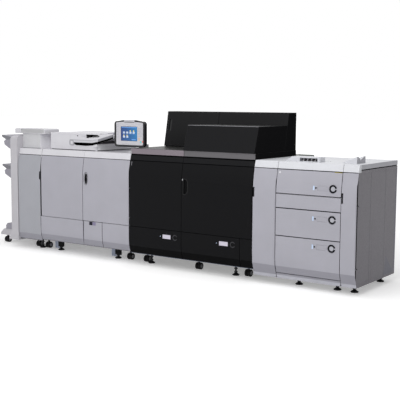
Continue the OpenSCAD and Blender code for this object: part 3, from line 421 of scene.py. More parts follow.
class Row:
    """The row's own millimetres: X from its left tip, Y back from its front, Z up."""

    origin = Vector((-2.134, -0.55, 0.0))

    @classmethod
    def world(cls, place: Vector) -> Vector:
        """A place in metres in the shared frame."""
        return cls.origin + place * MM

    @classmethod
    def local(cls, place: Vector) -> Vector:
        """A place of the shared frame in row millimetres."""
        return (place - cls.origin) / MM

    @classmethod
    def box(cls, node: str) -> tuple[Vector, Vector]:
        """A CAD node's lowest and highest corner in row millimetres."""
        low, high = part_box(node)
        return cls.local(Vector(low)), cls.local(Vector(high))


class Axis(Enum):
    """The axis an outline is drawn out along, or a round shape turns about."""

    X = 0
    Y = 1
    Z = 2


X, Y, Z = Axis


class Shape:
    """A mesh under construction, in row millimetres."""

    def __init__(self) -> None:
        """Starts an empty mesh."""
        self.mesh = bmesh.new()

    @classmethod
    def of_node(cls, node: str) -> "Shape":
        """A merged copy of a CAD node's mesh.

        Args:
            node: the node's name.

        Returns:
            The copy as a shape.
        """
        shape = cls()
        shape.mesh.from_mesh(frame["nodes"][node].data)
        for vert in shape.mesh.verts:
            vert.co = Row.local(vert.co)
        bmesh.ops.remove_doubles(shape.mesh, verts=shape.mesh.verts, dist=0.01)
        bmesh.ops.dissolve_limit(shape.mesh, angle_limit=math.radians(0.4), verts=shape.mesh.verts,
                                 edges=shape.mesh.edges)
        return shape

    def prism(self, outline: Sequence[Point], axis: Axis, start: float, end: float) -> "Shape":
        """Adds an outline drawn out along an axis.

        Args:
            outline: points in the two other axes, in their order.
            axis: the axis it is drawn out along.
            start: where it starts on that axis.
            end: where it ends.

        Returns:
            The shape itself.
        """
        def place(point: Point, depth: float) -> Vector:
            """The outline's point at a depth along the axis."""
            rest = list(point)
            rest.insert(axis.value, depth)
            return Vector(rest)
        near = [self.mesh.verts.new(place(point, start)) for point in outline]
        far = [self.mesh.verts.new(place(point, end)) for point in outline]
        faces = [self.mesh.faces.new(near), self.mesh.faces.new(far)]
        count = len(outline)
        for i in range(count):
            j = (i + 1) % count
            faces.append(self.mesh.faces.new((near[i], near[j], far[j], far[i])))
        bmesh.ops.recalc_face_normals(self.mesh, faces=faces)
        return self

    def block(self, low: Triple, high: Triple) -> "Shape":
        """Adds a box by its corners and returns the shape."""
        outline = [(low[0], low[1]), (high[0], low[1]), (high[0], high[1]), (low[0], high[1])]
        return self.prism(outline, Z, low[2], high[2])

    def lathe(self, profile: Sequence[Point], axis: Axis, centre: Triple, steps: int = 32) -> "Shape":
        """Adds a round body with closed ends.

        Args:
            profile: points as distance along the axis and radius, from one end to the other.
            axis: the axis it turns about.
            centre: the place that distances are counted from.
            steps: its number of sides.

        Returns:
            The shape itself.
        """
        rings: list[list[bmesh.types.BMVert]] = []
        start, end = ([(place[0], 0.0)] if place[1] > 0 else [] for place in (profile[0], profile[-1]))
        for along, radius in (*start, *profile, *end):
            ring = []
            for i in range(steps if radius > 0 else 1):
                turn = 2 * math.pi * i / steps
                rest = [radius * math.cos(turn), radius * math.sin(turn)]
                rest.insert(axis.value, along)
                ring.append(self.mesh.verts.new(Vector(rest) + Vector(centre)))
            rings.append(ring)
        faces = []
        for first, second in zip(rings, rings[1:]):
            for i in range(steps):
                j = (i + 1) % steps
                corners = [first[i % len(first)], first[j % len(first)], second[j % len(second)],
                           second[i % len(second)]]
                unique = list(dict.fromkeys(corners))
                if len(unique) > 2:
                    faces.append(self.mesh.faces.new(unique))
        bmesh.ops.recalc_face_normals(self.mesh, faces=faces)
        return self

    def turned(self, matrix: Matrix) -> "Shape":
        """Moves the whole shape by a matrix and returns it."""
        bmesh.ops.transform(self.mesh, matrix=matrix, verts=self.mesh.verts)
        return self

    def bevelled(self, width: float) -> "Shape":
        """Rounds its sharp edges by one step and returns it."""
        sharp = [edge for edge in self.mesh.edges
                 if len(edge.link_faces) == 2 and edge.calc_face_angle(0) > EDGE_ANGLE]
        bmesh.ops.bevel(self.mesh, geom=sharp, offset=width, segments=1, profile=0.5, affect="EDGES",
                        clamp_overlap=True)
        return self

    def split(self, axis: Axis, at: float) -> "Shape":
        """Divides its faces at a plane across an axis and returns it."""
        normal = Vector([1.0 if i == axis.value else 0.0 for i in range(3)])
        geometry = [*self.mesh.verts, *self.mesh.edges, *self.mesh.faces]
        bmesh.ops.bisect_plane(self.mesh, geom=geometry, plane_co=normal * at, plane_no=normal, dist=0.01)
        return self

    def cut(self, tool: "Shape") -> "Shape":
        """Takes another shape away from this one.

        Args:
            tool: what is taken away.

        Returns:
            The shape itself.
        """
        body, knife = (_loose_object(mesh) for mesh in (self.mesh, tool.mesh))
        modifier = body.modifiers.new("cut", "BOOLEAN")
        modifier.operation = "DIFFERENCE"
        modifier.solver = "EXACT"
        modifier.object = knife
        result = _evaluated(body)
        self.mesh = bmesh.new()
        self.mesh.from_mesh(result)
        for loose in (body, knife):
            bpy.data.objects.remove(loose)
        return self


def placed(name: str, data: bpy.types.ID) -> bpy.types.Object:
    """A new object with its data, in the scene."""
    made = bpy.data.objects.new(name, data)
    bpy.context.scene.collection.objects.link(made)
    return made


def _loose_object(mesh: bmesh.types.BMesh) -> bpy.types.Object:
    """An object in the scene that holds a copy of a mesh."""
    data = bpy.data.meshes.new("loose")
    mesh.to_mesh(data)
    return placed("loose", data)


def _evaluated(made: bpy.types.Object) -> bpy.types.Mesh:
    """The plain mesh of an object with its modifiers applied."""
    graph = bpy.context.evaluated_depsgraph_get()
    graph.update()
    return bpy.data.meshes.new_from_object(made.evaluated_get(graph))


def circle(centre: Point, radius: float, start: float = 0.0, end: float = 360.0, steps: int = 24) -> list[Point]:
    """Points along an arc.

    Args:
        centre: its centre.
        radius: its radius.
        start: the angle it starts at, in degrees.
        end: the angle it ends at.
        steps: its number of steps.

    Returns:
        The points, without the last one of a full circle.
    """
    count = steps if abs(end - start) >= 360 else steps + 1
    return [(centre[0] + radius * math.cos(math.radians(start + (end - start) * i / steps)),
             centre[1] + radius * math.sin(math.radians(start + (end - start) * i / steps)))
            for i in range(count)]


def rounded(low: Point, high: Point, radii: Sequence[float], steps: int = 8) -> list[Point]:
    """A rectangle with round corners.

    Args:
        low: its low corner.
        high: its high corner.
        radii: the corners' radii, from the low corner anticlockwise.
        steps: the steps of each corner.

    Returns:
        The outline.
    """
    corners = [(low[0], low[1], 1, 1, 180), (high[0], low[1], -1, 1, 270),
               (high[0], high[1], -1, -1, 0), (low[0], high[1], 1, -1, 90)]
    outline: list[Point] = []
    for (x, z, sx, sz, start), radius in zip(corners, radii):
        if radius <= 0:
            outline.append((x, z))
        else:
            outline += circle((x + sx * radius, z + sz * radius), radius, start, start + 90, steps)
    return outline


def plate(low: Triple, high: Triple, axis: Axis, radius: float = 3.0) -> Shape:
    """A thin plate with round corners.

    Args:
        low: its low corner.
        high: its high corner.
        axis: the axis across its thickness.
        radius: the radius of its corners.

    Returns:
        The plate.
    """
    rest = [i for i in range(3) if i != axis.value]
    outline = rounded((low[rest[0]], low[rest[1]]), (high[rest[0]], high[rest[1]]), [radius] * 4, 5)
    return Shape().prism(outline, axis, low[axis.value], high[axis.value])


class Shop:
    """Turns shapes into finished pieces that ride on the CAD bodies."""

    made = 0

    @classmethod
    def piece(cls, name: str, shape: Shape, finish: Finish, body: str = "frame", stands_for: Iterable[str] = (),
              bevel: float = 0.0, segments: int = 2, zones: Sequence["Zone"] = ()) -> None:
        """Finishes a piece.

        Args:
            name: its name.
            shape: its mesh in row millimetres.
            finish: its main finish.
            body: the CAD body it rides on.
            stands_for: the CAD nodes it replaces.
            bevel: the width of its rounded edges, 0 for none.
            segments: the steps of a rounded edge.
            zones: parts of it with another finish.
        """
        for vert in shape.mesh.verts:
            vert.co = Row.world(vert.co)
        low, high = ([pick(vert.co[i] for vert in shape.mesh.verts) for i in range(3)] for pick in (min, max))
        made = _loose_object(shape.mesh)
        if bevel > 0:
            rounding = made.modifiers.new("rounding", "BEVEL")
            rounding.width = bevel * MM
            rounding.segments = segments
            rounding.limit_method = "ANGLE"
            rounding.angle_limit = EDGE_ANGLE
            rounding.use_clamp_overlap = True
            rounding.miter_outer = "MITER_ARC"
        mesh = _evaluated(made)
        bpy.data.objects.remove(made)
        for vert in mesh.vertices:
            vert.co = [min(max(vert.co[i], low[i]), high[i]) for i in range(3)]
        cls.dress(mesh, finish, zones)
        mesh.shade_smooth()
        mesh.set_sharp_from_angle(angle=SHARP_ANGLE)
        final = placed(name, mesh)
        weighted = final.modifiers.new("normals", "WEIGHTED_NORMAL")
        weighted.keep_sharp = True
        settled = _evaluated(final)
        final.modifiers.remove(weighted)
        final.data = settled
        cls.mount(final, body, finish.slot, stands_for)

    @staticmethod
    def dress(mesh: bpy.types.Mesh, finish: Finish, zones: Sequence["Zone"]) -> None:
        """Gives a mesh its finishes.

        Args:
            mesh: the mesh, in metres.
            finish: its main finish.
            zones: parts of it with another finish.
        """
        mesh.materials.clear()
        mesh.materials.append(finish.material())
        for index, zone in enumerate(zones, start=1):
            mesh.materials.append(zone.finish.material())
            for face in mesh.polygons:
                if zone.holds(Row.local(face.center), face.normal):
                    face.material_index = index

    @classmethod
    def mount(cls, made: bpy.types.Object, body: str, slot: str, stands_for: Iterable[str] = ()) -> None:
        """Rides a piece on its body and reports it.

        Args:
            made: the finished object.
            body: the CAD body it rides on.
            slot: the record's material slot; not used.
            stands_for: the CAD nodes it replaces.
        """
        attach(made, body)
        nodes = tuple(stands_for)
        if nodes:
            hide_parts(*nodes)
        cls.made += 1
        LOG.info("piece %s on %s, %d faces", made.name, body, len(made.data.polygons))


@dataclass(frozen=True)
class Zone:
    """A part of a piece's surface with its own finish.

    Attributes:
        finish: the finish there.
        low: the lowest corner of the zone, in row millimetres.
        high: its highest corner.
        facing: the direction the faces look in, or None for any.
        spread: the least cosine between a face's normal and that direction.
    """

    finish: Finish
    low: Triple = (-FAR, -FAR, -FAR)
    high: Triple = (FAR, FAR, FAR)
    facing: Optional[Triple] = None
    spread: float = 0.8

    def holds(self, centre: Vector, normal: Vector) -> bool:
        """Whether a face lies in the zone.

        Args:
            centre: the face's centre in row millimetres.
            normal: its normal.

        Returns:
            True if it does.
        """
        inside = all(self.low[i] <= centre[i] <= self.high[i] for i in range(3))
        return inside and (self.facing is None or normal.dot(Vector(self.facing)) > self.spread)


# Repeated shapes


class Repeater:
    """Geometry Nodes trees that repeat a unit shape, and the pieces they make."""

    @staticmethod
    def start(name: str, inputs: dict[str, str]) -> Graph:
        """A new tree with geometry going in and out and its named inputs.

        Args:
            name: the tree's name.
            inputs: the kind of each of its own inputs, by name.

        Returns:
            The tree's graph.
        """
        tree = bpy.data.node_groups.new(name, "GeometryNodeTree")
        for label, kind in {"Unit": "Geometry", **inputs, "Finish": "Material"}.items():
            tree.interface.new_socket(label, in_out="INPUT", socket_type=f"NodeSocket{kind}")
        tree.interface.new_socket("Result", in_out="OUTPUT", socket_type="NodeSocketGeometry")
        return Graph(tree)

    @staticmethod
    def close(graph: Graph, given: bpy.types.Node, instances: Socket) -> Tree:
        """Ends a tree in real geometry with its finish.

        Args:
            graph: the tree's graph.
            given: its group input node.
            instances: the instances to realize.

        Returns:
            The tree.
        """
        real = graph.node("GeometryNodeRealizeInstances")
        dress = graph.node("GeometryNodeSetMaterial")
        out = graph.node("NodeGroupOutput")
        graph.link((instances, real.inputs["Geometry"]), (real.outputs["Geometry"], dress.inputs["Geometry"]),
                   (given.outputs["Finish"], dress.inputs["Material"]),
                   (dress.outputs["Geometry"], out.inputs["Result"]))
        return graph.tree

    @classmethod
    @cache
    def grid_tree(cls) -> Tree:
        """The tree that sets the unit on rows and columns."""
        graph = cls.start("unit on a grid", {"Columns": "Int", "Across": "Vector", "Rows": "Int", "Up": "Vector"})
        given = graph.node("NodeGroupInput")
        result = given.outputs["Unit"]
        for count, step in (("Columns", "Across"), ("Rows", "Up")):
            line = graph.node("GeometryNodeMeshLine")
            spread = graph.node("GeometryNodeInstanceOnPoints")
            graph.link((given.outputs[count], line.inputs["Count"]), (given.outputs[step], line.inputs["Offset"]),
                       (line.outputs["Mesh"], spread.inputs["Points"]), (result, spread.inputs["Instance"]))
            result = spread.outputs["Instances"]
        return cls.close(graph, given, result)

    @classmethod
    @cache
    def ring_tree(cls) -> Tree:
        """The tree that sets the unit in even turns about an axis."""
        graph = cls.start("unit on a ring", {"Count": "Int", "Turn": "Float", "Axis": "Vector", "Centre": "Vector"})
        given = graph.node("NodeGroupInput")
        line = graph.node("GeometryNodeMeshLine", {"Offset": (0.0, 0.0, 0.0)})
        index = graph.node("GeometryNodeInputIndex")
        angle = graph.node("ShaderNodeMath", operation="MULTIPLY")
        turn = graph.node("FunctionNodeAxisAngleToRotation")
        spread = graph.node("GeometryNodeInstanceOnPoints")
        graph.link((given.outputs["Count"], line.inputs["Count"]),
                   (given.outputs["Centre"], line.inputs["Start Location"]),
                   (index.outputs["Index"], angle.inputs[0]), (given.outputs["Turn"], angle.inputs[1]),
                   (given.outputs["Axis"], turn.inputs["Axis"]), (angle.outputs["Value"], turn.inputs["Angle"]),
                   (line.outputs["Mesh"], spread.inputs["Points"]),
                   (given.outputs["Unit"], spread.inputs["Instance"]),
                   (turn.outputs["Rotation"], spread.inputs["Rotation"]))
        return cls.close(graph, given, spread.outputs["Instances"])

    @classmethod
    def run(cls, name: str, unit: Shape, tree: Tree, values: dict[str, object],
            finish: Finish, body: str) -> None:
        """Makes one piece with a tree.

        Args:
            name: the piece's name.
            unit: the shape that is repeated, in metres.
            tree: the tree.
            values: the tree's inputs by name.
            finish: the piece's finish.
            body: the CAD body it rides on.
        """
        base = _loose_object(unit.mesh)
        modifier = base.modifiers.new("repeat", "NODES")
        modifier.node_group = tree
        given = {**values, "Finish": finish.material()}
        for item in tree.interface.items_tree:
            if item.item_type == "SOCKET" and item.in_out == "INPUT" and item.name in given:
                modifier[item.identifier] = given[item.name]
        base.update_tag()
        mesh = _evaluated(base)
        bpy.data.objects.remove(base)
        mesh.shade_smooth()
        mesh.set_sharp_from_angle(angle=SHARP_ANGLE)
        Shop.mount(placed(name, mesh), body, finish.slot)

    @classmethod
    def grid(cls, name: str, unit: Shape, finish: Finish, body: str, columns: int = 1, across: Triple = (0, 0, 0),
             rows: int = 1, up: Triple = (0, 0, 0)) -> None:
        """Repeats a unit on rows and columns.

        Args:
            name: the piece's name.
            unit: the first one, in row millimetres.
            finish: the finish.
            body: the CAD body it rides on.
            columns: the number across.
            across: the step across, in millimetres.
            rows: the number up.
            up: the step up, in millimetres.
        """
        for vert in unit.mesh.verts:
            vert.co = Row.world(vert.co)
        values = {"Columns": columns, "Rows": rows, "Across": tuple(float(part) * MM for part in across),
                  "Up": tuple(float(part) * MM for part in up)}
        cls.run(name, unit, cls.grid_tree(), values, finish, body)

    @classmethod
    def ring(cls, name: str, unit: Shape, finish: Finish, body: str, count: int, axis: Triple,
             centre: Triple) -> None:
        """Repeats a unit about an axis.

        Args:
            name: the piece's name.
            unit: the first one, in millimetres from the centre.
            finish: the finish.
            body: the CAD body it rides on.
            count: how many there are.
            axis: the axis they turn about.
            centre: the axis's place, in row millimetres.
        """
        for vert in unit.mesh.verts:
            vert.co = vert.co * MM
        values = {"Count": count, "Turn": math.radians(360.0 / count), "Axis": tuple(float(part) for part in axis),
                  "Centre": tuple(Row.world(Vector(centre)))}
        cls.run(name, unit, cls.ring_tree(), values, finish, body)


# The machine


BODY_OF = {node: body for body, nodes in frame["record"]["behaviour"]["bodies"].items() for node in nodes}
FACE_TOP, FACE_BELLY, FACE_FOOT, KICK = 750, 250, 66, 175
EPS = 0.25


def face_y(z: float) -> float:
    """How far the front's face lies back at a height, as the CAD has it.

    Args:
        z: the height in row millimetres.

    Returns:
        The face's Y.
    """
    if z > FACE_TOP:
        return 40 * ((z - FACE_TOP) / 292) ** 2
    if z < KICK:
        return 5 + 32 * (KICK - z) / (KICK - FACE_FOOT)
    return 5 * ((FACE_BELLY - z) / (FACE_BELLY - KICK)) ** 2 if z < FACE_BELLY else 0


def on_face(shape: Shape) -> Shape:
    """Lays a shape that was made at Y 0 on the front's curved face."""
    for vert in shape.mesh.verts:
        vert.co.y += face_y(vert.co.z)
    return shape


def skin(node: str, finish: Finish, bevel: float = 1.5, segments: int = 2, zones: Sequence[Zone] = (),
         cuts: Sequence[Shape] = (), splits: Sequence[tuple[Axis, float]] = (), levels: Sequence[float] = (),
         dark: bool = False) -> None:
    """Replaces a CAD node with a copy that has round edges, grooves and zones.

    Args:
        node: the node.
        finish: its main finish.
        bevel: the rounding of its edges.
        segments: the rounding's steps.
        zones: parts with another finish.
        cuts: shapes taken away from it.
        splits: planes that its faces are divided at, for the zones.
        levels: heights that they are divided at.
        dark: whether its narrow side faces are painted dark, as painted shadow of the gap round it.
    """
    shape = Shape.of_node(node)
    zones = [*(rim_zones(node) if dark else ()), *zones]
    for tool in cuts:
        shape.cut(tool)
    for axis, at in (*splits, *((Z, level) for level in levels)):
        shape.split(axis, at)
    Shop.piece(f"{node}_skin", shape, finish, BODY_OF[node], (node,), bevel, segments, zones=zones)


def band(finish: Finish, low: float, high: float, lean: float = 0.95) -> Zone:
    """The part of a front's face between two heights, where it leans no more than a share allows."""
    return Zone(finish, (-FAR, -1, low), (FAR, 60, high), (0, -lean, 0))


def rim_zones(node: str) -> list[Zone]:
    """The narrow side faces of a door or drawer front, in the finish of a gap's shadow.

    Args:
        node: the door's node.

    Returns:
        The four zones.
    """
    width, zones = 3, []
    for axis in (0, 2):
        for side, corner in zip((-1, 1), Row.box(node)):
            first, last, facing = [-FAR] * 3, [FAR, 60, FAR], [0] * 3
            first[axis], last[axis], facing[axis] = corner[axis] - width, corner[axis] + width, side
            zones.append(Zone(Look.DEEP, tuple(first), tuple(last), tuple(facing), 0.6))
    return zones


def keep(node: str, finish: Finish) -> None:
    """Keeps a CAD node whose shape is right and gives it its finish."""
    for slot in frame["nodes"][node].material_slots:
        slot.material = finish.material()
    LOG.info("kept %s in %s", node, finish.name)


def groove(low: Triple, high: Triple) -> Shape:
    """A straight groove's filling, by its corners."""
    return Shape().block(low, high)


def corner_tool(corner: Point, side: Point, radius: float, depth: tuple[float, float]) -> Shape:
    """What is taken away from a square corner to make it round, across the front.

    Args:
        corner: the corner's X and Z.
        side: which corner it is, as -1 or 1 along X and Z.
        radius: the round corner's radius.
        depth: the tool's first and last Y.

    Returns:
        The tool.
    """
    centre = (corner[0] - side[0] * radius, corner[1] - side[1] * radius)
    arc = [(centre[0] + side[0] * radius * math.sin(turn), centre[1] + side[1] * radius * math.cos(turn))
           for turn in (math.pi * step / 20 for step in range(11))]
    far = (corner[0] + side[0] * 4, corner[1] + side[1] * 4)
    return Shape().prism([far, (arc[0][0], far[1]), *arc, (far[0], arc[-1][1])], Y, *depth)


def seam_line(name: str, start: float, end: float) -> None:
    """A dark line in the shadow under a cover's front edge, from one X to another."""
    low, high = 977.8, 983.2
    near = face_y((low + high) / 2)
    Shop.piece(name, Shape().block((start, near - 0.5, low), (end, near + 6, high)), Look.DEEP)


@dataclass
class Inlay:
    """A plate set flush in the front's face, in a pocket a little larger than it.

    Attributes:
        x: its centre's X.
        z: its centre's height.
        w: its width.
        h: its height.
        radius: the radius of its corners.
        sunk: how far it lies behind the face.
        clearance: the gap round it.
        depth: the depth of its pocket.
    """

    x: float
    z: float
    w: float
    h: float
    radius: float = 2
    sunk: float = 0.3
    clearance: float = 1
    depth: float = 3

    def outline(self, grow: float) -> list[Point]:
        """Its outline, larger by a margin."""
        radius = min(self.radius + grow, self.w / 2 + grow - 0.01, self.h / 2 + grow - 0.01)
        return rounded((self.x - self.w / 2 - grow, self.z - self.h / 2 - grow),
                       (self.x + self.w / 2 + grow, self.z + self.h / 2 + grow), [radius] * 4, 6)

    def hole(self) -> Shape:
        """The pocket's filling."""
        return on_face(Shape().prism(self.outline(self.clearance), Y, -OVER, self.depth))

    def fill(self, name: str, finish: Finish, body: str, bevel: float = 0.6) -> None:
        """Makes the plate.

        Args:
            name: its name.
            finish: its finish.
            body: the body it rides on.
            bevel: the rounding of its edges.
        """
        shape = on_face(Shape().prism(self.outline(0), Y, self.sunk, self.depth + EPS))
        Shop.piece(name, shape, finish, body, bevel=bevel)


@dataclass
class Grille:
    """A louvred vent sunk in a back panel.

    Attributes:
        low: its lower corner's X and Z.
        high: its upper corner's X and Z.
        at: the panel's face.
        pitch: the step between slats.
        depth: the depth of the vent.
        radius: the radius of its corners.
    """

    low: Point
    high: Point
    at: float
    pitch: float = 14
    depth: float = 12
    radius: float = 8

    def filled(self, near: float, far: float) -> Shape:
        """Its outline drawn out between two depths, counted from the panel's face."""
        return Shape().prism(rounded(self.low, self.high, [self.radius] * 4, 5), Y, self.at + near, self.at + far)

    def hole(self) -> Shape:
        """The vent's filling."""
        return self.filled(-self.depth, OVER)

    def fill(self, name: str, finish: Finish) -> None:
        """Makes the slats and the dark floor behind them, painted shade for the inside of the vent.

        Args:
            name: the slats' name.
            finish: the slats' finish.
        """
        back = EPS - self.depth
        # The dark floor is painted shade for the inside of the vent.
        Shop.piece(f"{name}_floor", self.filled(back, back + 0.8), Look.DARK_SHEET)
        count = int((self.high[1] - self.low[1] - self.radius) / self.pitch)
        first = self.low[1] + (self.high[1] - self.low[1] - (count - 1) * self.pitch) / 2
        near, far = self.at - 1, self.at - (self.depth - 2)
        rise = self.pitch * 0.42
        profile = [(far, first + rise), (near, first - rise), (near, first - rise + 1.6), (far, first + rise + 1.6)]
        slat = Shape().prism(profile, X, self.low[0] + 0.6, self.high[0] - 0.6)
        Repeater.grid(name, slat, finish, "frame", rows=count, up=(0, 0, self.pitch))


@dataclass
class RoundKey:
    """A round release key: a disc with a ring that is open to the right.

    Attributes:
        node: the CAD node it replaces.
        x: its centre's X.
        z: its centre's height.
        r: its radius.
        ring_w: the ring's width.
        ring: the ring's finish.
        disc: the disc's finish.
        gap: half the ring's opening, in degrees.
    """

    node: str
    x: float
    z: float
    r: float
    ring_w: float
    ring: Finish
    disc: Finish
    gap: float = 26

    def build(self) -> None:
        """Makes the base, the disc, the ring and its ribs."""
        body, face = BODY_OF[self.node], face_y(self.z)
        inner = self.r - self.ring_w
        centre = (self.x, face, self.z)
        base = Shape().lathe([(2.2, self.r - 0.5), (8, self.r - 0.5), (8, 7.8), (29, 7.8)], Y, centre, 48)
        Shop.piece(f"{self.node}_base", base, self.disc, body, (self.node,), 0.4, 2)
        disc = Shape().lathe([(0.5, 0), (0.7, inner * 0.5), (1.1, inner - 2.2), (2.6, inner - 1.2)], Y, centre, 48)
        Shop.piece(f"{self.node}_disc", disc, self.disc, body)
        outer = circle((self.x, self.z), self.r - 0.8, self.gap, 360 - self.gap, 44)
        inside = circle((self.x, self.z), inner, 360 - self.gap, self.gap, 44)
        ring = Shape().prism([*outer, *inside], Y, face + 0.2, face + 4)
        Shop.piece(f"{self.node}_ring", ring, self.ring, body, bevel=0.7)
        rib = Shape().block((self.r - 3.2, 0.05, -0.6), (self.r - 1.2, 0.35, 0.6))
        Repeater.ring(f"{self.node}_ribs", rib, self.disc, body, 60, (0, -1, 0), centre)


@dataclass
class CornerScrews:
    """Screws along the edges of a sheet panel.

    Attributes:
        inset: their distance from the panel's edges.
        radius: the radius of their heads.
    """

    inset: float = 18
    radius: float = 5

    def build(self, name: str, low: Triple, high: Triple, axis: Axis = Y, facing: int = 1, columns: int = 2,
              rows: int = 3) -> None:
        """Sets the screws on a panel.

        Args:
            name: the piece's name.
            low: the panel's low corner.
            high: its high corner.
            axis: the axis across the panel.
            facing: the side its face looks to.
            columns: the number across.
            rows: the number up.
        """
        rest = [i for i in range(3) if i != axis.value]
        first = [low[i] + self.inset for i in rest]
        last = [high[i] - self.inset for i in rest]
        place, across, up = list(high if facing > 0 else low), [0] * 3, [0] * 3
        place[rest[0]], place[rest[1]] = first
        across[rest[0]] = (last[0] - first[0]) / (columns - 1)
        up[rest[1]] = (last[1] - first[1]) / (rows - 1)
        unit = self.head(tuple(place), axis, facing)
        Repeater.grid(name, unit, Look.STEEL, "frame", columns, tuple(across), rows, tuple(up))

    def head(self, place: Triple, axis: Axis, facing: int) -> Shape:
        """A domed screw head with a sunk middle.

        Args:
            place: the centre of its seat.
            axis: the axis it is driven along.
            facing: 1 or -1, the side its head looks to.

        Returns:
            The head.
        """
        r = self.radius
        profile = ((-0.3, 1), (0.9, 0.94), (1.6, 0.7), (1.9, 0.42), (1.1, 0.34))
        return Shape().lathe([(facing * along, r * share) for along, share in profile], axis, place, 12)


SCREWS = CornerScrews()


@dataclass
class Finisher:
    """The finisher: its column, its door, the inserter on top and its trays.

    Attributes:
        x: the left edge of its body.
        end: the right edge of its body.
        column_x: the column's left face.
        corner: the radius of its door's upper corners.
        rails_y: the places of its tray rails.
        rail_z: the rails' lowest and highest point.
        rail_w: the rails' width.
    """

    x: float = 472
    end: float = 799
    column_x: float = 370
    corner: float = 30
    rails_y: Point = (235, 485)
    rail_z: Point = (380, 1150)
    rail_w: float = 26

    def build(self) -> None:
        """Builds every piece of the finisher."""
        self.column()
        self.body()
        self.door()
        self.inserter()
        self.trays()

    def column(self) -> None:
        """The end column with its tray rails and exit mouths."""
        near, half, (low, high) = self.column_x, self.rail_w / 2, self.rail_z
        rails = [groove((near - OVER, y - half, low), (near + 4, y + half, high)) for y in self.rails_y]
        seam = groove((near - OVER, 640, 190), (near + 2.5, 643, 1140))
        skin("finisher_end_cover", Look.COLUMN, 4, 4, cuts=[*rails, seam], zones=[
            Zone(Look.DARK_SHEET, (near + 0.6, 200, low - 1), (near + 4.5, 520, high + 1))])
        for number, y in enumerate(self.rails_y, start=1):
            tooth = groove((near + 1.2, y - 8, low + 10), (near + 4.2, y + 8, low + 15))
            Repeater.grid(f"tray_rail_teeth_{number}", tooth, Look.STEEL, "frame", rows=62, up=(0, 0, 12.2))
        for name, finish, proud, depth, y, foot, top, radius, bevel in (
                ("upper_exit_mouth", Look.GRIP, 0.1, 3, 175, 1133, 1158, 8, 0.05),
                ("upper_exit_flap", Look.TRAY, 0.22, 1, 185, 1137, 1145, 3, 0.1),
                ("lower_exit_mouth", Look.GRIP, 0.1, 3, 175, 820, 846, 8, 0.05)):
            mouth = plate((near - proud, y, foot), (near + depth, 720 - y, top), X, radius)
            Shop.piece(name, mouth, finish, bevel=bevel, segments=1)
        SCREWS.build("column_side_screws", (near, 650, 190), (near, 790, 1120), X, -1)

    def body(self) -> None:
        """The cabinet with its white cover and its back panel."""
        vent = Grille((540, 760), (730, 900), BACK)
        # The cover's right face at the gap is painted dark as shade.
        skin("finisher_cabinet", Look.COLUMN, 1.5, 2, cuts=[vent.hole()], zones=[
            Zone(Look.COVER, (470, -10, 979), (802, 800, 1043)),
            Zone(Look.DEEP, (797, -10, 979), (800, 60, 1043), RIGHT, 0.6),
            Zone(Look.SHEET, (495, 60, 106), (776, 770, 978))])
        seam_line("finisher_cover_line", 474, 797)
        vent.fill("finisher_back_vent", Look.COLUMN)
        SCREWS.build("finisher_back_screws", (self.x, BACK, 110), (self.end, BACK, 970))
        for name, side, x in (("left", -1, self.x), ("right", 1, self.end)):
            filler = on_face(Shape().block((min(x, x - side * self.corner), 2, 977.5 - self.corner),
                                           (max(x, x - side * self.corner), 34, 977.5)))
            filler.cut(Shape().prism(circle((x - side * self.corner, 978 - self.corner), self.corner + 1.2, steps=48),
                                     Y, -20, 80))
            Shop.piece(f"door_corner_{name}", filler, Look.COVER, bevel=0.3)

    def door(self) -> None:
        """The front door with its round upper corners, its grip and its foot strip."""
        cuts = [corner_tool((x, 978), (side, 1), self.corner, (-10, 70)) for side, x in ((-1, self.x), (1, self.end))]
        grip = Zone(Look.GRIP, (782, 2, 733), (800, 15, 819))
        # The foot band is painted darker as shade on the kick that faces down.
        foot = band(Look.DOOR_FOOT_SHADE, 100, 170, 1)
        # The dark band at the lower edge is painted shadow.
        edge = band(Look.EDGE_SHADE, 90, 110.2, 1)
        skin("finisher_door", Look.FIN_DOOR, 2.5, 3, zones=[foot, edge, grip], cuts=cuts,
             levels=(110, 170), dark=True)

    def inserter(self) -> None:
        """The inserter's body and its long lid."""
        foot = groove((468, 78, 1041), (730, 87, 1045.5))
        # The right face is painted near white as light in the reader's shade; the groove at the front's foot is
        # painted dark as its shadow.
        skin("inserter_body", Look.INSERTER_FRONT, 3, 3, cuts=[foot], zones=[
            Zone(Look.INSERTER, (720, 70, 1040), (730, 800, 1195), RIGHT),
            Zone(Look.DEEP, (468, 84, 1040), (730, 88, 1045.4), FRONT)])
        skin("inserter_lid", Look.COVER, 4, 3, zones=[
            Zone(Look.LID_FACE, (461, 69, 1199), (789, 71, 1237), FRONT)],
            splits=[(X, 460), (X, 790)], levels=(1198, 1238))
        dot = Shape().lathe([(1, 6), (-0.6, 5)], Y, (470, 70, 1229), 14)
        Shop.piece("inserter_lid_lamp", dot, Look.LENS, "inserter_lid")

    def trays(self) -> None:
        """The stack trays, the booklet tray and the exit rollers."""
        for node, z in (("stack_tray_upper", 1164), ("stack_tray_lower", 852)):
            skin(node, Look.TRAY, 4, 3, zones=[
                Zone(Look.TRAY_DARK, (50, 155, z - 50), (381, 565, z + 1), FRONT)], levels=(z - 50,))
        skin("booklet_tray", Look.TRAY, 2.5, 2)
        keep("exit_rollers", Look.ROLLER)


